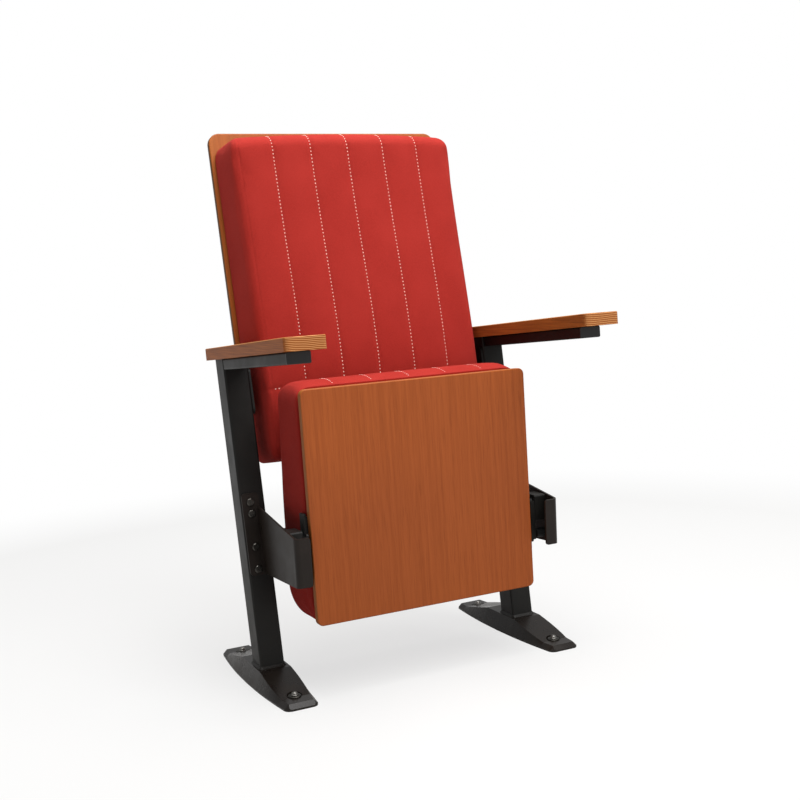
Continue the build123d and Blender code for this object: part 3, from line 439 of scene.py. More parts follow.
@dataclass(frozen=True)
class OiledTimber(Finish):
    """Solid straight-grained beech, stained and oiled.

    Its long faces show fine grain that runs along the arm, and its front end shows the year rings
    as light and dark lines. The oil leaves it nearly matt. Its grain lines are about half a
    millimetre wide; they are drawn three times as coarse, or the picture would not show them.
    """

    # light: the colour painted on faces that look up, as painted top light
    light: str = "#BC803F"
    mid: str = "#A8602B"
    dark: str = "#7F4621"
    ring_light: str = "#C98C56"
    ring_dark: str = "#935023"
    grain_mm: float = 1.6
    grain_length_mm: float = 90.0
    ring_mm: float = 3.4
    ring_slope: float = 0.12
    wander_mm: float = 30.0
    relief_mm: float = 0.1
    roughness: float = 0.46

    def build(self) -> bpy.types.Material:
        """Builds the timber with its grain along the arm, and painted top light on faces that look up.

        Returns:
            The material.
        """
        material, tree, shader = self.start()
        coord = add_node(tree, "ShaderNodeTexCoord")
        streaks = (1 / (self.grain_mm * MM), 1 / (self.grain_length_mm * MM), 1 / (self.grain_mm * MM))
        fine = add_node(
            tree, "ShaderNodeVectorMath", {"operation": "MULTIPLY"},
            {0: coord.outputs["Object"], 1: streaks},
        )
        grain = add_node(
            tree, "ShaderNodeTexNoise", None, {"Vector": fine.outputs[0], "Scale": 1.0, "Detail": 3.0}
        )
        shade = add_node(
            tree, "ShaderNodeMapRange", None,
            {"Value": grain.outputs[0], "From Min": 0.35, "From Max": 0.7, "To Min": 0.0, "To Max": 1.0},
        )
        faced = add_node(
            tree, "ShaderNodeMix", {"data_type": "RGBA"},
            {SHARE: shade.outputs[0], FIRST: linear(self.mid), SECOND: linear(self.dark)},
        )
        place = add_node(tree, "ShaderNodeSeparateXYZ", None, {0: coord.outputs["Object"]})
        tilt = add_node(
            tree, "ShaderNodeMath", {"operation": "MULTIPLY_ADD"},
            {0: place.outputs[Axis.ACROSS.value], 1: self.ring_slope, 2: place.outputs[Axis.UP.value]},
        )
        wander = add_node(
            tree, "ShaderNodeTexNoise", None,
            {"Vector": coord.outputs["Object"], "Scale": 1 / (self.wander_mm * MM), "Detail": 0.0},
        )
        bent = add_node(
            tree, "ShaderNodeMath", {"operation": "MULTIPLY_ADD"},
            {0: wander.outputs[0], 1: self.ring_mm * MM, 2: tilt.outputs[0]},
        )
        count = add_node(
            tree, "ShaderNodeMath", {"operation": "MULTIPLY"},
            {0: bent.outputs[0], 1: FULL_TURN / (self.ring_mm * MM)},
        )
        rings = add_node(tree, "ShaderNodeMath", {"operation": "SINE"}, {0: count.outputs[0]})
        late = add_node(
            tree, "ShaderNodeMapRange", None,
            {"Value": rings.outputs[0], "From Min": -0.5, "From Max": 0.8, "To Min": 0.0, "To Max": 1.0},
        )
        ends = add_node(
            tree, "ShaderNodeMix", {"data_type": "RGBA"},
            {SHARE: late.outputs[0], FIRST: linear(self.ring_dark), SECOND: linear(self.ring_light)},
        )
        square = add_node(tree, "ShaderNodeSeparateXYZ", None, {0: coord.outputs["Normal"]})
        forward = add_node(
            tree, "ShaderNodeMapRange", None,
            {"Value": square.outputs[Axis.DEEP.value], "From Min": -0.75, "From Max": -0.5,
             "To Min": 1.0, "To Max": 0.0},
        )
        # Painted top light: faces that look up are mixed towards the light colour.
        painted_top_light_share = add_node(
            tree, "ShaderNodeMapRange", None,
            {"Value": square.outputs[Axis.UP.value], "From Min": 0.3, "From Max": 0.8,
             "To Min": 0.0, "To Max": 0.8},
        )
        painted_lit_top = add_node(
            tree, "ShaderNodeMix", {"data_type": "RGBA"},
            {SHARE: painted_top_light_share.outputs[0], FIRST: faced.outputs[MIXED], SECOND: linear(self.light)},
        )
        whole = add_node(
            tree, "ShaderNodeMix", {"data_type": "RGBA"},
            {SHARE: forward.outputs[0], FIRST: painted_lit_top.outputs[MIXED], SECOND: ends.outputs[MIXED]},
        )
        bump = add_node(
            tree, "ShaderNodeBump", None,
            {"Height": grain.outputs[0], "Distance": self.relief_mm * MM, "Strength": 0.4},
        )
        fill_inputs(tree, shader, {
            "Base Color": whole.outputs[MIXED],
            "Normal": bump.outputs[0],
            "Roughness": self.roughness,
            "Specular IOR Level": 0.12,
            "Coat Weight": 0.03,
            "Coat Roughness": 0.3,
        })
        return material


@dataclass(frozen=True)
class Coated(Finish):
    """A dielectric surface with a fine even relief: powder coat, moulded plastic or rubber.

    A relief and a roughness that drift over the surface break its reflections up, as a baked
    powder or the spark-eroded face of a mould does. The grit of a baked powder is about 0.6 mm
    across; it is drawn twice as coarse, or the picture would not show it.
    """

    colour: str = "#151412"
    rubbed: str = "#1F1D1A"
    grit_mm: float = 1.3
    relief_mm: float = 0.06
    drift_mm: float = 45.0
    roughness: float = 0.45
    uneven: tuple[float, float] = (-0.04, 0.08)
    gloss: float = 0.22
    dust: str = "#34302B"
    dusty: float = 0.0

    def build(self) -> bpy.types.Material:
        """Builds the coat, with dust where a surface looks up.

        Returns:
            The material.
        """
        material, tree, shader = self.start()
        coord = add_node(tree, "ShaderNodeTexCoord")
        grit = add_node(
            tree, "ShaderNodeTexNoise", None,
            {"Vector": coord.outputs["Object"], "Scale": 1 / (self.grit_mm * MM), "Detail": 2.0},
        )
        drift = add_node(
            tree, "ShaderNodeTexNoise", None,
            {"Vector": coord.outputs["Object"], "Scale": 1 / (self.drift_mm * MM), "Detail": 3.0},
        )
        rub = add_node(
            tree, "ShaderNodeMapRange", None,
            {"Value": drift.outputs[0], "From Min": 0.4, "From Max": 0.75, "To Min": 0.0, "To Max": 0.8},
        )
        tone = add_node(
            tree, "ShaderNodeMix", {"data_type": "RGBA"},
            {SHARE: rub.outputs[0], FIRST: linear(self.colour), SECOND: linear(self.rubbed)},
        )
        square = add_node(tree, "ShaderNodeSeparateXYZ", None, {0: coord.outputs["Normal"]})
        settled = add_node(
            tree, "ShaderNodeMapRange", None,
            {"Value": square.outputs[Axis.UP.value], "From Min": 0.35, "From Max": 1.0,
             "To Min": 0.0, "To Max": self.dusty},
        )
        speck = add_node(
            tree, "ShaderNodeMath", {"operation": "MULTIPLY"}, {0: settled.outputs[0], 1: grit.outputs[0]}
        )
        whole = add_node(
            tree, "ShaderNodeMix", {"data_type": "RGBA"},
            {SHARE: speck.outputs[0], FIRST: tone.outputs[MIXED], SECOND: linear(self.dust)},
        )
        rough = add_node(
            tree, "ShaderNodeMapRange", None,
            {"Value": drift.outputs[0], "From Min": 0.3, "From Max": 0.7,
             "To Min": self.roughness + self.uneven[0], "To Max": self.roughness + self.uneven[1]},
        )
        bump = add_node(
            tree, "ShaderNodeBump", None,
            {"Height": grit.outputs[0], "Distance": self.relief_mm * MM, "Strength": 0.7},
        )
        fill_inputs(tree, shader, {
            "Base Color": whole.outputs[MIXED],
            "Roughness": rough.outputs[0],
            "Normal": bump.outputs[0],
            "Specular IOR Level": self.gloss,
        })
        return material


@dataclass(frozen=True)
class BareMetal(Finish):
    """Steel with a thin metallic surface: ground, zinc plated, oil blacked or drawn as spring wire.

    Fine marks of the tool or the plating bath vary its colour and roughness. They are about
    0.3 mm across, and drawn three times as coarse, or the picture would not show them.
    """

    colour: str = "#B8B8B4"
    stained: str = "#8C8B86"
    mark_mm: float = 0.9
    roughness: float = 0.35
    uneven: tuple[float, float] = (-0.08, 0.1)

    def build(self) -> bpy.types.Material:
        """Builds the metal with its marks.

        Returns:
            The material.
        """
        material, tree, shader = self.start()
        coord = add_node(tree, "ShaderNodeTexCoord")
        marks = add_node(
            tree, "ShaderNodeTexNoise", None,
            {"Vector": coord.outputs["Object"], "Scale": 1 / (self.mark_mm * MM), "Detail": 4.0},
        )
        tone = add_node(
            tree, "ShaderNodeMix", {"data_type": "RGBA"},
            {SHARE: marks.outputs[0], FIRST: linear(self.colour), SECOND: linear(self.stained)},
        )
        rough = add_node(
            tree, "ShaderNodeMapRange", None,
            {"Value": marks.outputs[0], "From Min": 0.3, "From Max": 0.7,
             "To Min": self.roughness + self.uneven[0], "To Max": self.roughness + self.uneven[1]},
        )
        fill_inputs(tree, shader, {
            "Base Color": tone.outputs[MIXED],
            "Roughness": rough.outputs[0],
            "Metallic": 1.0,
        })
        return material


@dataclass(frozen=True)
class SpunThread(Finish):
    """Bonded polyester sewing thread, pale against the cloth, with the twist of its plies."""

    colour: str = "#FCEAE0"
    shadow: str = "#EFC8B8"
    twist_mm: float = 0.7

    def build(self) -> bpy.types.Material:
        """Builds the thread.

        Returns:
            The material.
        """
        material, tree, shader = self.start()
        coord = add_node(tree, "ShaderNodeTexCoord")
        twist = add_node(
            tree, "ShaderNodeTexNoise", None,
            {"Vector": coord.outputs["Object"], "Scale": 1 / (self.twist_mm * MM), "Detail": 1.0},
        )
        tone = add_node(
            tree, "ShaderNodeMix", {"data_type": "RGBA"},
            {SHARE: twist.outputs[0], FIRST: linear(self.colour), SECOND: linear(self.shadow)},
        )
        fill_inputs(tree, shader, {"Base Color": tone.outputs[MIXED], "Roughness": 0.6})
        return material


# ---------------------------------------------------------------- meshes
def new_piece(
    name: str, points: np.ndarray, faces: Sequence[Sequence[int]], material: bpy.types.Material
) -> bpy.types.Object:
    """Makes a smooth-shaded object from points and faces.

    Args:
        name: The piece's name.
        points: Rows of x, y and z in metres.
        faces: The corners of each face, by row of points.
        material: The piece's material.

    Returns:
        The object, linked to the scene.
    """
    mesh = bpy.data.meshes.new(name)
    mesh.from_pydata(points.tolist(), [], [list(face) for face in faces])
    builder = bmesh.new()
    builder.from_mesh(mesh)
    bmesh.ops.recalc_face_normals(builder, faces=builder.faces)
    builder.to_mesh(mesh)
    builder.free()
    mesh.shade_smooth()
    mesh.materials.append(material)
    piece = bpy.data.objects.new(name, mesh)
    bpy.context.scene.collection.objects.link(piece)
    return piece


def mesh_points(mesh: bpy.types.Mesh) -> np.ndarray:
    """Reads a mesh's points.

    Args:
        mesh: The mesh.

    Returns:
        Rows of x, y and z.
    """
    flat = np.empty(len(mesh.vertices) * 3)
    mesh.vertices.foreach_get("co", flat)
    return flat.reshape(-1, 3)


def evaluated_points(piece: bpy.types.Object) -> np.ndarray:
    """Reads an object's points after its modifiers.

    Args:
        piece: The object.

    Returns:
        Rows of x, y and z.
    """
    graph = bpy.context.evaluated_depsgraph_get()
    shown = piece.evaluated_get(graph)
    points = mesh_points(shown.to_mesh())
    shown.to_mesh_clear()
    return points


def steps(start: float, stop: float, pitch: float) -> list[float]:
    """Even steps from start to stop, about a pitch apart, without the last one."""
    count = max(1, round(abs(stop - start) / pitch))
    return [start + (stop - start) * index / count for index in range(count)]


@dataclass(frozen=True)
class LeaningFace:
    """A flat face that looks forward and leans back, given in mm by a point on it and its lean."""

    y: float
    z: float
    lean: float

    def place(self, points: np.ndarray) -> np.ndarray:
        """Turns rows of across, up the face and behind it into the frame.

        Args:
            points: Rows in mm.

        Returns:
            Rows of x, y and z in metres.
        """
        lean = math.radians(self.lean)
        across, up, behind = points.T
        y = self.y + up * math.sin(lean) + behind * math.cos(lean)
        z = self.z + up * math.cos(lean) - behind * math.sin(lean)
        return np.stack([across, y, z], axis=1) * MM


EDGE_ANGLES = (15, 30, 45)  # rows round a long edge, in degrees
END_ANGLES = range(0, 90, 9)  # rows round an end, in degrees
SURFACE_POWER = 10  # keeps the channels to the sewn surface, off the sides
HELD_BELOW, HELD_ABOVE = 0.05, 0.99  # shares at the board and on the sewn surface
HELD_BESIDE = 2.0  # mm on either side of a sewn line
SEWN_SIDE = 0.7  # how squarely the sewn surface looks forward or back
FACE_POINTS, END_POINTS = 400, 40  # points on a seam's path
STITCH_STEP = 0.5 * MM  # how far ahead a stitch looks for its direction


@dataclass
class SewnCushion:
    """A foam cushion in a sewn cloth cover: flat on its board, crowned, with sewn channels.

    Sizes are in mm and follow the cushion's own directions: across, up its face, and out from
    its board towards the sewn surface.

    The fields up to brow_reach give the form of the foam and its sewn channels, those from
    pressure to fill how the cover fills, those from stitch_pitch to seam_foot the stitching, and
    those from gather_offset to gather_phase the cloth that the stitches draw together. The rest
    place the mesh's rows and columns.
    """

    name: str
    cad_node: str
    body: Body
    face: LeaningFace
    low: float
    high: float
    half_width: float
    base: float
    outward: int
    low_round: tuple[float, float]
    high_round: tuple[float, float]
    edge_radius: float = 10.0
    edge_share: float = 0.45
    draw_in: float = 1.5
    sewn_pitch: float = 75.0
    sewn_lines: int = 5
    sewn_depth: float = 2.2
    sewn_half_width: float = 4.5
    cross_share: float = 0.7
    puff: float = 1.2
    inset: float = 2.0
    locked_margin: float = 10.0
    edge_seam_depth: float = 0.8
    edge_seam_half_width: float = 1.3
    cross_seams: tuple[float, ...] = ()
    flare: float = 0.0
    arch: float = 0.0
    arch_reach: float = 90.0
    brow: float = 0.0
    brow_share: float = 0.6
    brow_reach: float = 34.0
    pressure: float = 4.0
    puff_limit: float = 3.0
    side_limit: float = 1.5
    fill_frames: int = 20
    fill: float = 0.85
    stitch_pitch: float = 6.8
    stitch_length: float = 3.1
    stitch_radius: float = 1.0
    stitch_lift: float = -0.4
    seam_foot: float = 0.55
    gather_offset: float = 5.0
    gather_width: float = 4.0
    gather_height: float = 0.25
    gather_length: float = 13.0
    gather_shift: float = 2.1
    gather_drift: float = 97.0
    gather_phase: float = 1.0
    grid_pitch: float = 7.0
    seam_gaps: tuple[float, ...] = (0.0, 1.6, 3.2, 5.2, 8.0)
    edge_gaps: tuple[float, ...] = (3.0, 1.6, 0.8, 0.0)
    cross_gaps: tuple[float, ...] = (-5.0, -3.0, -1.5, 0.0, 1.5, 3.0, 5.0)
    cross_clear: float = 6.0

    def thickness(self, up: np.ndarray) -> np.ndarray:
        """Thickness of the cushion at heights up its face, away from its ends."""
        raise NotImplementedError

    def crown(self, up: np.ndarray) -> np.ndarray:
        """How much the middle stands out beyond the long edges."""
        raise NotImplementedError

    @property
    def seams(self) -> list[float]:
        """The places of the sewn lines across the cushion."""
        return [self.sewn_pitch * (index - (self.sewn_lines - 1) / 2) for index in range(self.sewn_lines)]

    def across_samples(self) -> list[float]:
        """Columns of the mesh, close together beside each sewn line and along the edges.

        Returns:
            Their places across the cushion.
        """
        close = self.seam_gaps
        half = list(close)
        for seam in [place for place in self.seams if place > 0]:
            half += steps(half[-1], seam - close[-1], self.grid_pitch)[1:]
            half += [seam - gap for gap in reversed(close)] + [seam + gap for gap in close[1:]]
        flat = self.half_width - self.inset - self.edge_radius
        half += steps(half[-1], flat - self.edge_gaps[0], self.grid_pitch)[1:]
        half += [flat - gap for gap in self.edge_gaps]
        half += [flat + self.edge_radius * math.tan(math.radians(angle)) for angle in EDGE_ANGLES]
        return [-place for place in reversed(half[1:])] + half

    def up_samples(self) -> list[float]:
        """Rows of the mesh, close together round the ends and beside each cross seam.

        Returns:
            Their heights up the face.
        """
        low, high = self.low + self.inset, self.high - self.inset
        angles = [math.radians(angle) for angle in END_ANGLES]
        rows = [low + self.low_round[0] * (1 - math.cos(angle)) for angle in angles]
        start, stop = low + self.low_round[0], high - self.high_round[0]
        rows += steps(start, stop, self.grid_pitch)
        for seam in self.cross_seams:
            rows = [row for row in rows if abs(row - seam) > self.cross_clear]
            rows += [seam + gap for gap in self.cross_gaps]
        rows += [high - self.high_round[0] * (1 - math.cos(angle)) for angle in reversed(angles)]
        rows += [stop]
        return sorted(set(rows))

    def shape(self, across: np.ndarray, up: np.ndarray, share: np.ndarray) -> np.ndarray:
        """The cushion's form.

        Args:
            across: Places across the cushion before its ends narrow, in mm.
            up: Heights up its face, in mm.
            share: From 0 at the board to 1 at the sewn surface.

        Returns:
            Rows of x, y and z in metres.
        """
        inset = self.inset
        full_half = self.half_width - inset
        thick = self.thickness(up) - inset
        half = full_half - self.draw_in * (
            1 - (2 * (up - self.low) / (self.high - self.low) - 1) ** 2
        )
        ends = ((up - self.low - inset, self.low_round), (self.high - inset - up, self.high_round))
        flatness = np.ones_like(up)
        for reach, (deep, side) in ends:
            left = 1 - np.sqrt(1 - np.clip(1 - reach / deep, 0, 1) ** 2)
            thick = thick - deep * left
            half = half - side * left
            flatness = flatness * (1 - left)
        lock = self.seams[-1] + self.locked_margin
        wide = np.abs(across)
        wide = np.where(wide <= lock, wide, lock + (wide - lock) * (half - lock) / (full_half - lock))
        out = share * thick
        radius = np.minimum(self.edge_radius, self.edge_share * thick)
        side_way = np.clip(wide - (half - radius), 0, None)
        out_way = np.clip(out - (thick - radius), 0, None)
        both = (side_way > 0) & (out_way > 0)
        shrink = np.where(
            both, np.maximum(side_way, out_way) / np.maximum(np.hypot(side_way, out_way), TINY), 1.0
        )
        wide = np.where(both, half - radius + side_way * shrink, wide)
        out = np.where(both, thick - radius + out_way * shrink, out)
        near_surface = np.clip(out / thick, 0, 1)
        rise = self.crown(up) * flatness * (1 - np.clip(wide / half, 0, 1) ** 2) * near_surface
        x = np.sign(across) * wide
        spread = 1 + self.flare * (1 - near_surface) / half
        lift = np.clip((up - self.high + self.arch_reach) / self.arch_reach, 0, 1) ** 2
        near_top = np.clip((up - self.high + self.brow_reach) / self.brow_reach, 0, 1)
        drop = self.brow * near_top * (1 - np.clip(near_surface / self.brow_share, 0, 1)) ** 2
        raised = up + self.arch * lift * (1 - np.clip(wide / half, 0, 1) ** 2) - drop
        gaps = np.stack([np.abs(x - seam) for seam in self.seams])
        nearest = gaps.min(axis=0)
        outermost = np.maximum(half - self.seams[-1], 1.0)
        span = np.where(wide > self.seams[-1], outermost, self.sewn_pitch)
        between = np.clip(nearest / span, 0, 1)
        swell = self.puff * 4 * between * (1 - between)
        channel = self.sewn_depth * np.exp(-((nearest / self.sewn_half_width) ** 2))
        for seam in self.cross_seams:
            beside = np.exp(-(((up - seam) / self.sewn_half_width) ** 2))
            channel = np.maximum(channel, self.sewn_depth * self.cross_share * beside)
        edge = np.abs(wide - (half - radius))
        crease = self.edge_seam_depth * np.exp(-((edge / self.edge_seam_half_width) ** 2))
        out = out + rise + (swell - channel - crease) * near_surface ** SURFACE_POWER
        behind = self.base + self.outward * out
        return self.face.place(np.stack([x * spread, raised, behind], axis=1))

    def grid(self) -> tuple[np.ndarray, list[np.ndarray], np.ndarray]:
        """The closed mesh of the cover.

        Returns:
            Points in metres, faces, and for each point its across, up and share values.
        """
        columns, rows = self.across_samples(), self.up_samples()
        thick = float(self.thickness(np.array([(self.low + self.high) / 2]))[0]) - self.inset
        corner = self.edge_radius / thick
        shares = steps(0.0, 1 - corner, self.grid_pitch / thick)
        shares += [1 - corner] + [
            1 - corner + corner * math.tan(math.radians(angle)) for angle in EDGE_ANGLES
        ]
        size = (len(columns), len(rows), len(shares))
        inside = np.zeros(size, bool)
        inside[1:-1, 1:-1, 1:-1] = True
        lattice = np.argwhere(~inside)
        number = -np.ones(size, int)
        number[~inside] = np.arange(len(lattice))
        faces = []
        for axis in range(3):
            for end in (0, -1):
                sheet = np.take(number, end, axis=axis)
                corners = [sheet[:-1, :-1], sheet[1:, :-1], sheet[1:, 1:], sheet[:-1, 1:]]
                faces += list(np.stack([corner_set.ravel() for corner_set in corners], axis=1))
        scales = (columns, rows, shares)
        values = np.stack([np.array(scale)[lattice[:, axis]] for axis, scale in enumerate(scales)], axis=1)
        return self.shape(*values.T), faces, values

    def held(self, values: np.ndarray) -> np.ndarray:
        """Finds the points that stay put while the cover fills: on the board and on the sewn lines.

        Args:
            values: For each point its across, up and share values.

        Returns:
            One for each held point and zero for the others.
        """
        across, up, share = values.T
        held = share < HELD_BELOW
        for place, seams in ((across, self.seams), (up, self.cross_seams)):
            for seam in seams:
                held |= (np.abs(place - seam) < HELD_BESIDE) & (share > HELD_ABOVE)
        return held.astype(float)

    def inflate(self, piece: bpy.types.Object, values: np.ndarray) -> None:
        """Lets the cover fill against its seams by a cloth simulation, within limits.

        Args:
            piece: The cover, which is changed.
            values: For each point its across, up and share values.
        """
        scene = bpy.context.scene
        before = mesh_points(piece.data)
        weights = self.held(values)
        group = piece.vertex_groups.new(name="held")
        group.add(np.flatnonzero(weights > 0).tolist(), 1.0, "REPLACE")
        cloth = piece.modifiers.new("fill", "CLOTH")
        options = cloth.settings
        options.quality = 5
        options.mass = 0.2
        options.tension_stiffness = 25.0
        options.compression_stiffness = 25.0
        options.shear_stiffness = 10.0
        options.bending_stiffness = 4.0
        options.vertex_group_mass = group.name
        options.use_pressure = True
        options.uniform_pressure_force = self.pressure
        options.effector_weights.gravity = 0.0
        cloth.point_cache.frame_start = 1
        cloth.point_cache.frame_end = self.fill_frames
        for frame in range(1, self.fill_frames + 1):
            scene.frame_set(frame)
        moved = evaluated_points(piece) - before
        piece.modifiers.remove(cloth)
        piece.vertex_groups.remove(group)
        scene.frame_set(1)
        length = np.linalg.norm(moved, axis=1, keepdims=True)
        limit = self.puff_limit * MM
        moved = moved * (limit * np.tanh(length / limit) / np.maximum(length, TINY))
        side_limit = self.side_limit * MM
        moved[:, 0] = side_limit * np.tanh(moved[:, 0] / side_limit)
        LOG.info("  cover filled by up to %.1f mm", float(np.abs(moved).max()) / MM)
        piece.data.vertices.foreach_set("co", (before + moved).ravel())
        piece.data.update()

    def pucker(self, piece: bpy.types.Object) -> None:
        """Gathers the cloth a little beside each sewn line, as the stitches draw it.

        Args:
            piece: The cover, which is changed.
        """
        points = mesh_points(piece.data)
        normals = np.empty(len(points) * 3)
        piece.data.vertices.foreach_get("normal", normals)
        normals = normals.reshape(-1, 3)
        across, height = points[:, 0] / MM, points[:, 2] / MM
        nearest = np.stack([np.abs(across - seam) for seam in self.seams]).min(axis=0)
        beside = np.exp(-(((nearest - self.gather_offset) / self.gather_width) ** 2))
        facing_out = np.abs(normals[:, 1]) > SEWN_SIDE
        shift = np.round(across / self.sewn_pitch) * self.gather_shift
        gathers = np.sin(height * FULL_TURN / self.gather_length + shift)
        drift = np.sin(height * FULL_TURN / self.gather_drift + self.gather_phase)
        ripple = self.gather_height * MM * beside * facing_out * gathers * drift
        piece.data.vertices.foreach_set("co", (points + normals * ripple[:, None]).ravel())
        piece.data.update()

    def build(self, cloth: bpy.types.Material, thread: bpy.types.Material) -> None:
        """Builds the cover and its stitching.

        Args:
            cloth: The cover's material.
            thread: The stitching's material.
        """
        points, faces, values = self.grid()
        cover = new_piece(self.name, points, faces, cloth)
        self.inflate(cover, values)
        finer = cover.modifiers.new("finer", "SUBSURF")
        finer.levels = finer.render_levels = 1
        with bpy.context.temp_override(object=cover, active_object=cover, selected_objects=[cover]):
            bpy.ops.object.modifier_apply(modifier=finer.name)
        self.pucker(cover)
        cover.data.shade_smooth()
        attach(cover, self.body.value)
        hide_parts(self.cad_node)
        stitching = self.stitch(cover, thread)
        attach(stitching, self.body.value)
        report(cover)
        report(stitching)

    def seam_paths(self) -> list[np.ndarray]:
        """Lays out each line of stitching: up the sewn surface, over both ends, and across it.

        Returns:
            For each line, rows of across, up and share.
        """
        paths = []
        low, high = self.low + self.inset, self.high - self.inset
        face = np.ones(FACE_POINTS)
        rows = np.linspace(low, high, FACE_POINTS)
        over = np.linspace(self.seam_foot, 1.0, END_POINTS)
        flat = np.ones(END_POINTS)
        for seam in self.seams:
            paths.append(np.stack([seam * face, rows, face], axis=1))
            paths += [np.stack([seam * flat, end * flat, over], axis=1) for end in (low, high)]
        half = self.half_width - self.inset - self.edge_radius
        columns = np.linspace(-half, half, FACE_POINTS)
        return paths + [np.stack([columns, seam * face, face], axis=1) for seam in self.cross_seams]

    def stitch(self, cover: bpy.types.Object, thread: bpy.types.Material) -> bpy.types.Object:
        """Lays one stitch after another along each seam, sunk a little in the cloth.

        Args:
            cover: The finished cover that carries the stitches.
            thread: Their material.

        Returns:
            All the stitches as one object.
        """
        surface = BVHTree.FromPolygons(
            [vertex.co for vertex in cover.data.vertices],
            [tuple(face.vertices) for face in cover.data.polygons],
        )
        grain, grain_faces = self.stitch_form()
        points, faces = [], []
        for path in self.seam_paths():
            line = self.shape(*path.T)
            run = np.concatenate([[0.0], np.cumsum(np.linalg.norm(np.diff(line, axis=0), axis=1))])
            places = np.arange(self.stitch_pitch * MM, run[-1], self.stitch_pitch * MM)
            spots, ahead = (
                np.stack([np.interp(places + step, run, line[:, axis]) for axis in range(3)], axis=1)
                for step in (0.0, STITCH_STEP)
            )
            for spot, next_spot in zip(spots, ahead):
                touch, normal, _, _ = surface.find_nearest(Vector(spot))
                if touch is None:
                    continue
                along = Vector(next_spot) - Vector(spot)
                along = (along - normal * along.dot(normal)).normalized()
                beside = normal.cross(along)
                turn = np.array([list(along), list(beside), list(normal)])
                lift = np.array(touch) + np.array(normal) * self.stitch_radius * MM * self.stitch_lift
                faces += [[corner + len(points) * len(grain) for corner in face] for face in grain_faces]
                points.append(grain @ turn + lift)
        return new_piece(f"{self.name}_topstitching", np.concatenate(points), faces, thread)

    def stitch_form(self, rings: int = 5, sides: int = 6) -> tuple[np.ndarray, list[list[int]]]:
        """One stitch: a short thread that rises from the cloth and dives back into it.

        Args:
            rings: Rings between the two tips.
            sides: Points on a ring.

        Returns:
            Points in metres about its middle, along x with z out of the cloth, and faces.
        """
        half, radius = self.stitch_length / 2 * MM, self.stitch_radius * MM
        points = [[-half, 0.0, -radius]]
        for ring in range(rings):
            along = -1 + 2 * (ring + 1) / (rings + 1)
            girth = radius * math.sqrt(1 - along ** 4)
            for side in range(sides):
                angle = FULL_TURN * side / sides
                sink = -radius * along ** 2
                points.append([along * half, girth * math.cos(angle), girth * math.sin(angle) + sink])
        points.append([half, 0.0, -radius])
        last = len(points) - 1
        faces = []
        for side in range(sides):
            after = (side + 1) % sides
            faces.append([0, 1 + after, 1 + side])
            for ring in range(rings - 1):
                first = 1 + ring * sides
                faces.append([first + side, first + after, first + sides + after, first + sides + side])
            faces.append([last, last - sides + side, last - sides + after])
        return np.array(points), faces


@dataclass
class SeatCushion(SewnCushion):
    """The tipping seat's cushion, thickest towards its rear, which hangs low when tipped up."""

    name: str = "seat_cover"
    cad_node: str = "seat_cushion"
    body: Body = Body.SEAT
    face: LeaningFace = LeaningFace(-155.992, 275.635, 1.4)
    low: float = -143.5
    high: float = 286.5
    half_width: float = 226.0
    base: float = 24.0
    outward: int = 1
    low_round: tuple[float, float] = (52.0, 12.0)
    high_round: tuple[float, float] = (26.0, 30.0)
    padding: float = 126.0
    crown_height: float = 3.0
    taper: float = 70.0
    peak: float = 0.3
    seam_foot: float = 0.03
    brow: float = 9.0

    def thickness(self, up: np.ndarray) -> np.ndarray:
        """Foam thickness, which falls off from its peak towards the front edge."""
        share = (up - self.low) / (self.high - self.low)
        return self.padding - self.taper * (share - self.peak) ** 2

    def crown(self, up: np.ndarray) -> np.ndarray:
        """An even crown."""
        return np.full_like(up, self.crown_height)


@dataclass
class BackCushion(SewnCushion):
    """The back's cushion, with a lumbar swell across its lower half."""

    name: str = "back_cover"
    cad_node: str = "back_cushion"
    body: Body = Body.STAND
    face: LeaningFace = LeaningFace(-0.992, 407.0, 9.7)
    low: float = 0.0
    high: float = 611.0
    half_width: float = 228.5
    base: float = 87.0
    outward: int = -1
    low_round: tuple[float, float] = (28.0, 18.0)
    high_round: tuple[float, float] = (28.0, 18.0)
    cross_seams: tuple[float, ...] = (134.0,)
    flare: float = 9.5
    arch: float = 6.0
    stitch_lift: float = 0.0
    crown_height: float = 10.0
    lumbar_edge: float = 12.0
    lumbar_middle: float = 20.0
    lumbar_shape: float = 0.63

    def lumbar(self, up: np.ndarray) -> np.ndarray:
        """Share of the lumbar swell, from 0 at both ends to 1."""
        share = np.clip(up / self.high, 0, 1)
        return np.sin(math.pi * share ** self.lumbar_shape) ** 2

    def thickness(self, up: np.ndarray) -> np.ndarray:
        """Foam thickness along the edges."""
        return self.base + self.lumbar_edge * self.lumbar(up)

    def crown(self, up: np.ndarray) -> np.ndarray:
        """The crown, which grows with the lumbar swell."""
        return self.crown_height + (self.lumbar_middle - self.lumbar_edge) * self.lumbar(up)


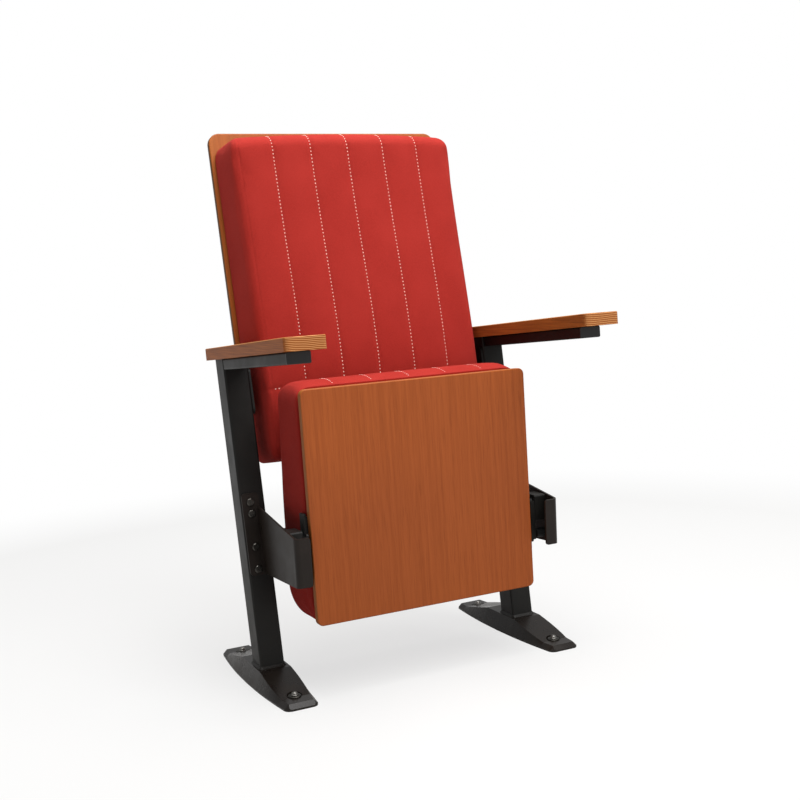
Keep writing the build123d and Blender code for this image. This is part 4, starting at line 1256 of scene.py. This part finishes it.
@dataclass
class AnchorHeads:
    """The domed steel heads of the four floor anchors, on their washers. Sizes in mm."""

    radius: float = 5.8
    flange: float = 6.8
    flange_height: float = 0.8
    flange_bevel: float = 0.4
    collar_foot: float = 1.3
    dome_foot: float = 2.0
    height: float = 6.5
    tip_radius: float = 0.01
    washer_radius: float = 12.0
    sides: int = 40
    dome_rings: int = 9

    def profile(self) -> list[tuple[float, float]]:
        """Runs from the flange's rim over its bevel and up the dome to its top.

        Returns:
            The radius and height of each ring.
        """
        dome = [
            (self.radius * math.cos(angle), self.dome_foot + (self.height - self.dome_foot) * math.sin(angle))
            for angle in np.linspace(0.0, math.pi / 2, self.dome_rings)
        ]
        skirt = [
            (self.flange, 0.0),
            (self.flange, self.flange_height),
            (self.flange - self.flange_bevel, self.flange_height + self.flange_bevel),
            (self.radius, self.collar_foot),
        ]
        return skirt + dome[:-1] + [(self.tip_radius, self.height)]

    def build(self, steel: bpy.types.Material) -> None:
        """Builds the heads on top of the washers.

        Args:
            steel: Their material.
        """
        low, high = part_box("anchor_washers")
        washer = self.washer_radius * MM
        rings = self.profile()
        round_angles = [FULL_TURN * side / self.sides for side in range(self.sides)]
        points, faces = [], []
        for x in (low.x + washer, high.x - washer):
            for y in (low.y + washer, high.y - washer):
                start = len(points)
                for radius, height in rings:
                    reach, level = radius * MM, high.z + height * MM
                    points += [
                        (x + reach * math.cos(angle), y + reach * math.sin(angle), level)
                        for angle in round_angles
                    ]
                for ring in range(len(rings) - 1):
                    first = start + ring * self.sides
                    above = first + self.sides
                    for side in range(self.sides):
                        after = (side + 1) % self.sides
                        faces.append([first + side, first + after, above + after, above + side])
                for ring in (0, len(rings) - 1):
                    faces.append([start + ring * self.sides + side for side in range(self.sides)])
        piece = new_piece("anchor_heads", np.array(points), faces, steel)
        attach(piece, Body.STAND.value)
        report(piece)


def report(piece: bpy.types.Object) -> None:
    """Logs a piece's name and number of faces."""
    LOG.info("%s: %d faces", piece.name, len(piece.data.polygons))


# ---------------------------------------------------------------- carried-over CAD nodes
@dataclass
class RigidParts:
    """The frame's rigid solids, each with the material of its record slot."""

    finishes: Mapping[Slot, Finish]
    own: Mapping[str, Finish] = field(default_factory=dict)

    def dress(self, frame: Mapping[str, object]) -> None:
        """Gives every CAD node its material.
        """
        made: dict[Finish, bpy.types.Material] = {}
        slots = self.node_slots(frame["record"])
        for name, node in sorted(frame["nodes"].items()):
            finish = self.own.get(name) or self.finishes[slots[name]]
            if finish not in made:
                made[finish] = finish.build()
            if not node.material_slots:
                node.data.materials.append(made[finish])
            for place in node.material_slots:
                place.material = made[finish]
        LOG.info("%d rigid nodes in %d materials", len(frame["nodes"]), len(made))

    def node_slots(self, record: Mapping[str, object]) -> dict[str, Slot]:
        """Each node's material slot, as the record lists them."""
        return {part["node"]: Slot(part["material_slot"]) for part in record["subparts"]}


# ---------------------------------------------------------------- studio
@dataclass(frozen=True)
class Softbox:
    """A square lamp that looks at the seat. Metres and watts."""

    name: str
    place: tuple[float, float, float]
    size: float
    power: float
    aim: tuple[float, float, float] = (0.0, 0.0, 0.45)

    def build(self) -> None:
        """Hangs the lamp."""
        lamp = bpy.data.lights.new(self.name, "AREA")
        lamp.shape = "SQUARE"
        lamp.size = self.size
        lamp.energy = self.power
        holder = bpy.data.objects.new(self.name, lamp)
        holder.location = self.place
        way = Vector(self.aim) - Vector(self.place)
        holder.rotation_euler = way.to_track_quat("-Z", "Y").to_euler()
        bpy.context.scene.collection.objects.link(holder)


@dataclass(frozen=True)
class Studio:
    """A pale floor that fades into a white surround, and large soft lamps."""

    lamps: tuple[Softbox, ...] = (
        Softbox("key_softbox", (0.8, -2.2, 2.9), 2.2, 74.0),
        Softbox("top_softbox", (0.1, -0.1, 3.2), 2.2, 115.0),
    )
    ambient: float = 0.22
    mirrored: float = 0.35
    shadow_lift: float = 0.66
    floor_half: float = 9.0
    floor_colour: str = "#D6D5D3"
    floor_bounce: str = "#94928F"
    fade_start: float = 0.5
    fade_end: float = 2.2

    def build(self) -> None:
        """Builds the floor, the surround and the lamps."""
        bpy.context.scene.view_settings.view_transform = "Standard"
        for lamp in self.lamps:
            lamp.build()
        self.surround()
        self.floor()

    def surround(self) -> None:
        """A world that is plain white to the eye, dimmer in reflections, and lights softly."""
        world = bpy.data.worlds.new("surround")
        bpy.context.scene.world = world
        world.use_nodes = True
        tree = world.node_tree
        tree.nodes.clear()
        path = add_node(tree, "ShaderNodeLightPath")
        seen = add_node(
            tree, "ShaderNodeMath", {"operation": "MAXIMUM"},
            {0: path.outputs["Is Camera Ray"], 1: path.outputs["Is Transmission Ray"]},
        )
        mirror = add_node(
            tree, "ShaderNodeMath", {"operation": "MULTIPLY"},
            {0: path.outputs["Is Glossy Ray"], 1: self.mirrored},
        )
        share = add_node(
            tree, "ShaderNodeMath", {"operation": "MAXIMUM"}, {0: seen.outputs[0], 1: mirror.outputs[0]}
        )
        strength = add_node(
            tree, "ShaderNodeMapRange", None,
            {"Value": share.outputs[0], "To Min": self.ambient, "To Max": 1.0},
        )
        light = add_node(
            tree, "ShaderNodeBackground", None, {"Color": linear("#FFFFFF"), "Strength": strength.outputs[0]}
        )
        add_node(tree, "ShaderNodeOutputWorld", None, {"Surface": light.outputs[0]})

    def floor(self) -> None:
        """A floor that keeps the seat's shadow, lifted a little, and turns plain white further out."""
        material = bpy.data.materials.new("pale_floor_paper")
        material.use_nodes = True
        tree = material.node_tree
        tree.nodes.clear()
        coord = add_node(tree, "ShaderNodeTexCoord")
        reach = add_node(tree, "ShaderNodeVectorMath", {"operation": "LENGTH"}, {0: coord.outputs["Object"]})
        fade = add_node(
            tree, "ShaderNodeMapRange", {"interpolation_type": "SMOOTHSTEP"},
            {"Value": reach.outputs["Value"], "From Min": self.fade_start, "From Max": self.fade_end},
        )
        path = add_node(tree, "ShaderNodeLightPath")
        colour = add_node(
            tree, "ShaderNodeMix", {"data_type": "RGBA"},
            {
                SHARE: path.outputs["Is Diffuse Ray"],
                FIRST: linear(self.floor_colour),
                SECOND: linear(self.floor_bounce),
            },
        )
        matt = add_node(tree, "ShaderNodeBsdfDiffuse", None, {"Color": colour.outputs[MIXED]})
        white = add_node(tree, "ShaderNodeEmission", None, {"Color": linear("#FFFFFF"), "Strength": 1.0})
        lifted = add_node(
            tree, "ShaderNodeMath", {"operation": "MULTIPLY"},
            {0: path.outputs["Is Camera Ray"], 1: self.shadow_lift},
        )
        cover = add_node(
            tree, "ShaderNodeMath", {"operation": "MAXIMUM"}, {0: fade.outputs[0], 1: lifted.outputs[0]}
        )
        blend = add_node(
            tree, "ShaderNodeMixShader", None, {0: cover.outputs[0], 1: matt.outputs[0], 2: white.outputs[0]}
        )
        add_node(tree, "ShaderNodeOutputMaterial", None, {"Surface": blend.outputs[0]})
        half = self.floor_half
        corners = np.array([(-half, -half, 0.0), (half, -half, 0.0), (half, half, 0.0), (-half, half, 0.0)])
        new_piece("floor", corners, [[0, 1, 2, 3]], material)


@dataclass(frozen=True)
class Camera:
    """The viewpoint of the photograph: angles in degrees, sizes in metres, lens in mm."""

    azimuth: float = -23.8
    elevation: float = 9.76
    roll: float = -3.61
    distance: float = 2.0626
    target: tuple[float, float, float] = (-0.0675, -0.0194, 0.3595)
    lens: float = 49.03
    shift: tuple[float, float] = (0.0516, 0.0981)

    def build(self) -> None:
        """Sets the camera up and makes it the scene's own."""
        angles = (self.azimuth, self.elevation, self.roll)
        azimuth, elevation, roll = (math.radians(angle) for angle in angles)
        level = math.cos(elevation)
        back = Vector((math.sin(azimuth) * level, -math.cos(azimuth) * level, math.sin(elevation)))
        right = Vector((0, 0, 1)).cross(back).normalized()
        up = back.cross(right)
        x_axis = right * math.cos(roll) + up * math.sin(roll)
        y_axis = up * math.cos(roll) - right * math.sin(roll)
        data = bpy.data.cameras.new("camera")
        data.lens = self.lens
        data.sensor_width = 36.0
        data.shift_x, data.shift_y = self.shift
        holder = bpy.data.objects.new("camera", data)
        turn = Matrix((x_axis, y_axis, back)).transposed().to_4x4()
        holder.matrix_world = Matrix.Translation(Vector(self.target) + back * self.distance) @ turn
        bpy.context.scene.collection.objects.link(holder)
        bpy.context.scene.camera = holder


# ---------------------------------------------------------------- finishes of this seat
FINISHES: dict[Slot, Finish] = {
    Slot.CLOTH: WovenCloth(),
    Slot.PANEL: LacqueredVeneer(name="lacquered_sapele_veneer", lean=1.4),
    # The shell's edge colours are darker than its ply, as painted shade on its cut edges.
    Slot.SHELL: LacqueredVeneer(
        name="lacquered_beech_plywood", light="#AA612A", mid="#A35926", dark="#8F4C22", pore="#7C431F",
        edge_light="#70461F", edge_dark="#4C2D16", lean=9.7, pores=0.3, roughness=0.4,
    ),
    Slot.ARM: OiledTimber(name="oiled_beech"),
    Slot.PLY: LacqueredVeneer(
        name="birch_plywood", light="#DDBE8E", mid="#D2AE7C", dark="#BE9564", pore="#A47C50",
        edge_light="#D8B888", edge_dark="#9C7448", pores=0.2, roughness=0.6,
    ),
    Slot.POWDER: Coated(name="black_powder_coat", dusty=0.4),
    Slot.RUBBER: Coated(
        name="moulded_rubber", colour="#161616", rubbed="#222222", grit_mm=2.0, relief_mm=0.05,
        roughness=0.75, gloss=0.3,
    ),
    Slot.NYLON: Coated(
        name="moulded_nylon", colour="#DAD6CA", rubbed="#CBC6B8", grit_mm=1.5, relief_mm=0.02,
        roughness=0.4, gloss=0.5, dust="#BFB9A8",
    ),
    Slot.PLASTIC: Coated(
        name="moulded_polypropylene", colour="#151515", rubbed="#1C1C1C", grit_mm=0.9, relief_mm=0.03,
        roughness=0.35, gloss=0.5,
    ),
    Slot.GROUND: BareMetal(name="ground_steel", colour="#C4C4C0", stained="#A2A19C", roughness=0.25),
    Slot.SPRING: BareMetal(name="oiled_spring_steel", colour="#6E6C68", stained="#4A4844", roughness=0.35),
    Slot.OXIDE: BareMetal(name="black_oxide_steel", colour="#5A5753", stained="#3A3834", roughness=0.26),
    Slot.ZINC: BareMetal(name="zinc_plated_steel", colour="#C2C4C6", stained="#9FA19F", roughness=0.38),
}

CAST_POWDER = Coated(
    name="rubbed_black_powder_coat", colour="#1A1512", rubbed="#231D18", roughness=0.26, gloss=0.26
)
PLATE_POWDER = Coated(
    name="satin_black_powder_coat", colour="#211B17", rubbed="#2B2420", roughness=0.4, gloss=0.18
)
BLACKENED = BareMetal(
    name="blackened_washer_steel", colour="#4C4A46", stained="#2E2C29", roughness=0.45
)
DULLED_ZINC = BareMetal(name="dulled_zinc_steel", colour="#8E8C88", stained="#5E5C58", roughness=0.36)
OWN_FINISHES: dict[str, Finish] = {
    "foot_left": CAST_POWDER,
    "foot_right": CAST_POWDER,
    "seat_bracket_left": PLATE_POWDER,
    "seat_bracket_right": PLATE_POWDER,
    "anchor_washers": BLACKENED,
}


def main() -> None:
    """Loads the frame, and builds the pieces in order."""
    logging.basicConfig(level=logging.INFO, format="%(message)s")
    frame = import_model()
    Camera().build()
    Studio().build()
    RigidParts(FINISHES, OWN_FINISHES).dress(frame)
    thread = SpunThread(name="bonded_polyester_thread").build()
    for cushion in (SeatCushion(), BackCushion()):
        cloth = WovenCloth(name=f"woven_wool_nylon_{cushion.name}", lean=cushion.face.lean).build()
        cushion.build(cloth, thread)
    AnchorHeads().build(DULLED_ZINC.build())


if __name__ == "__main__":
    main()
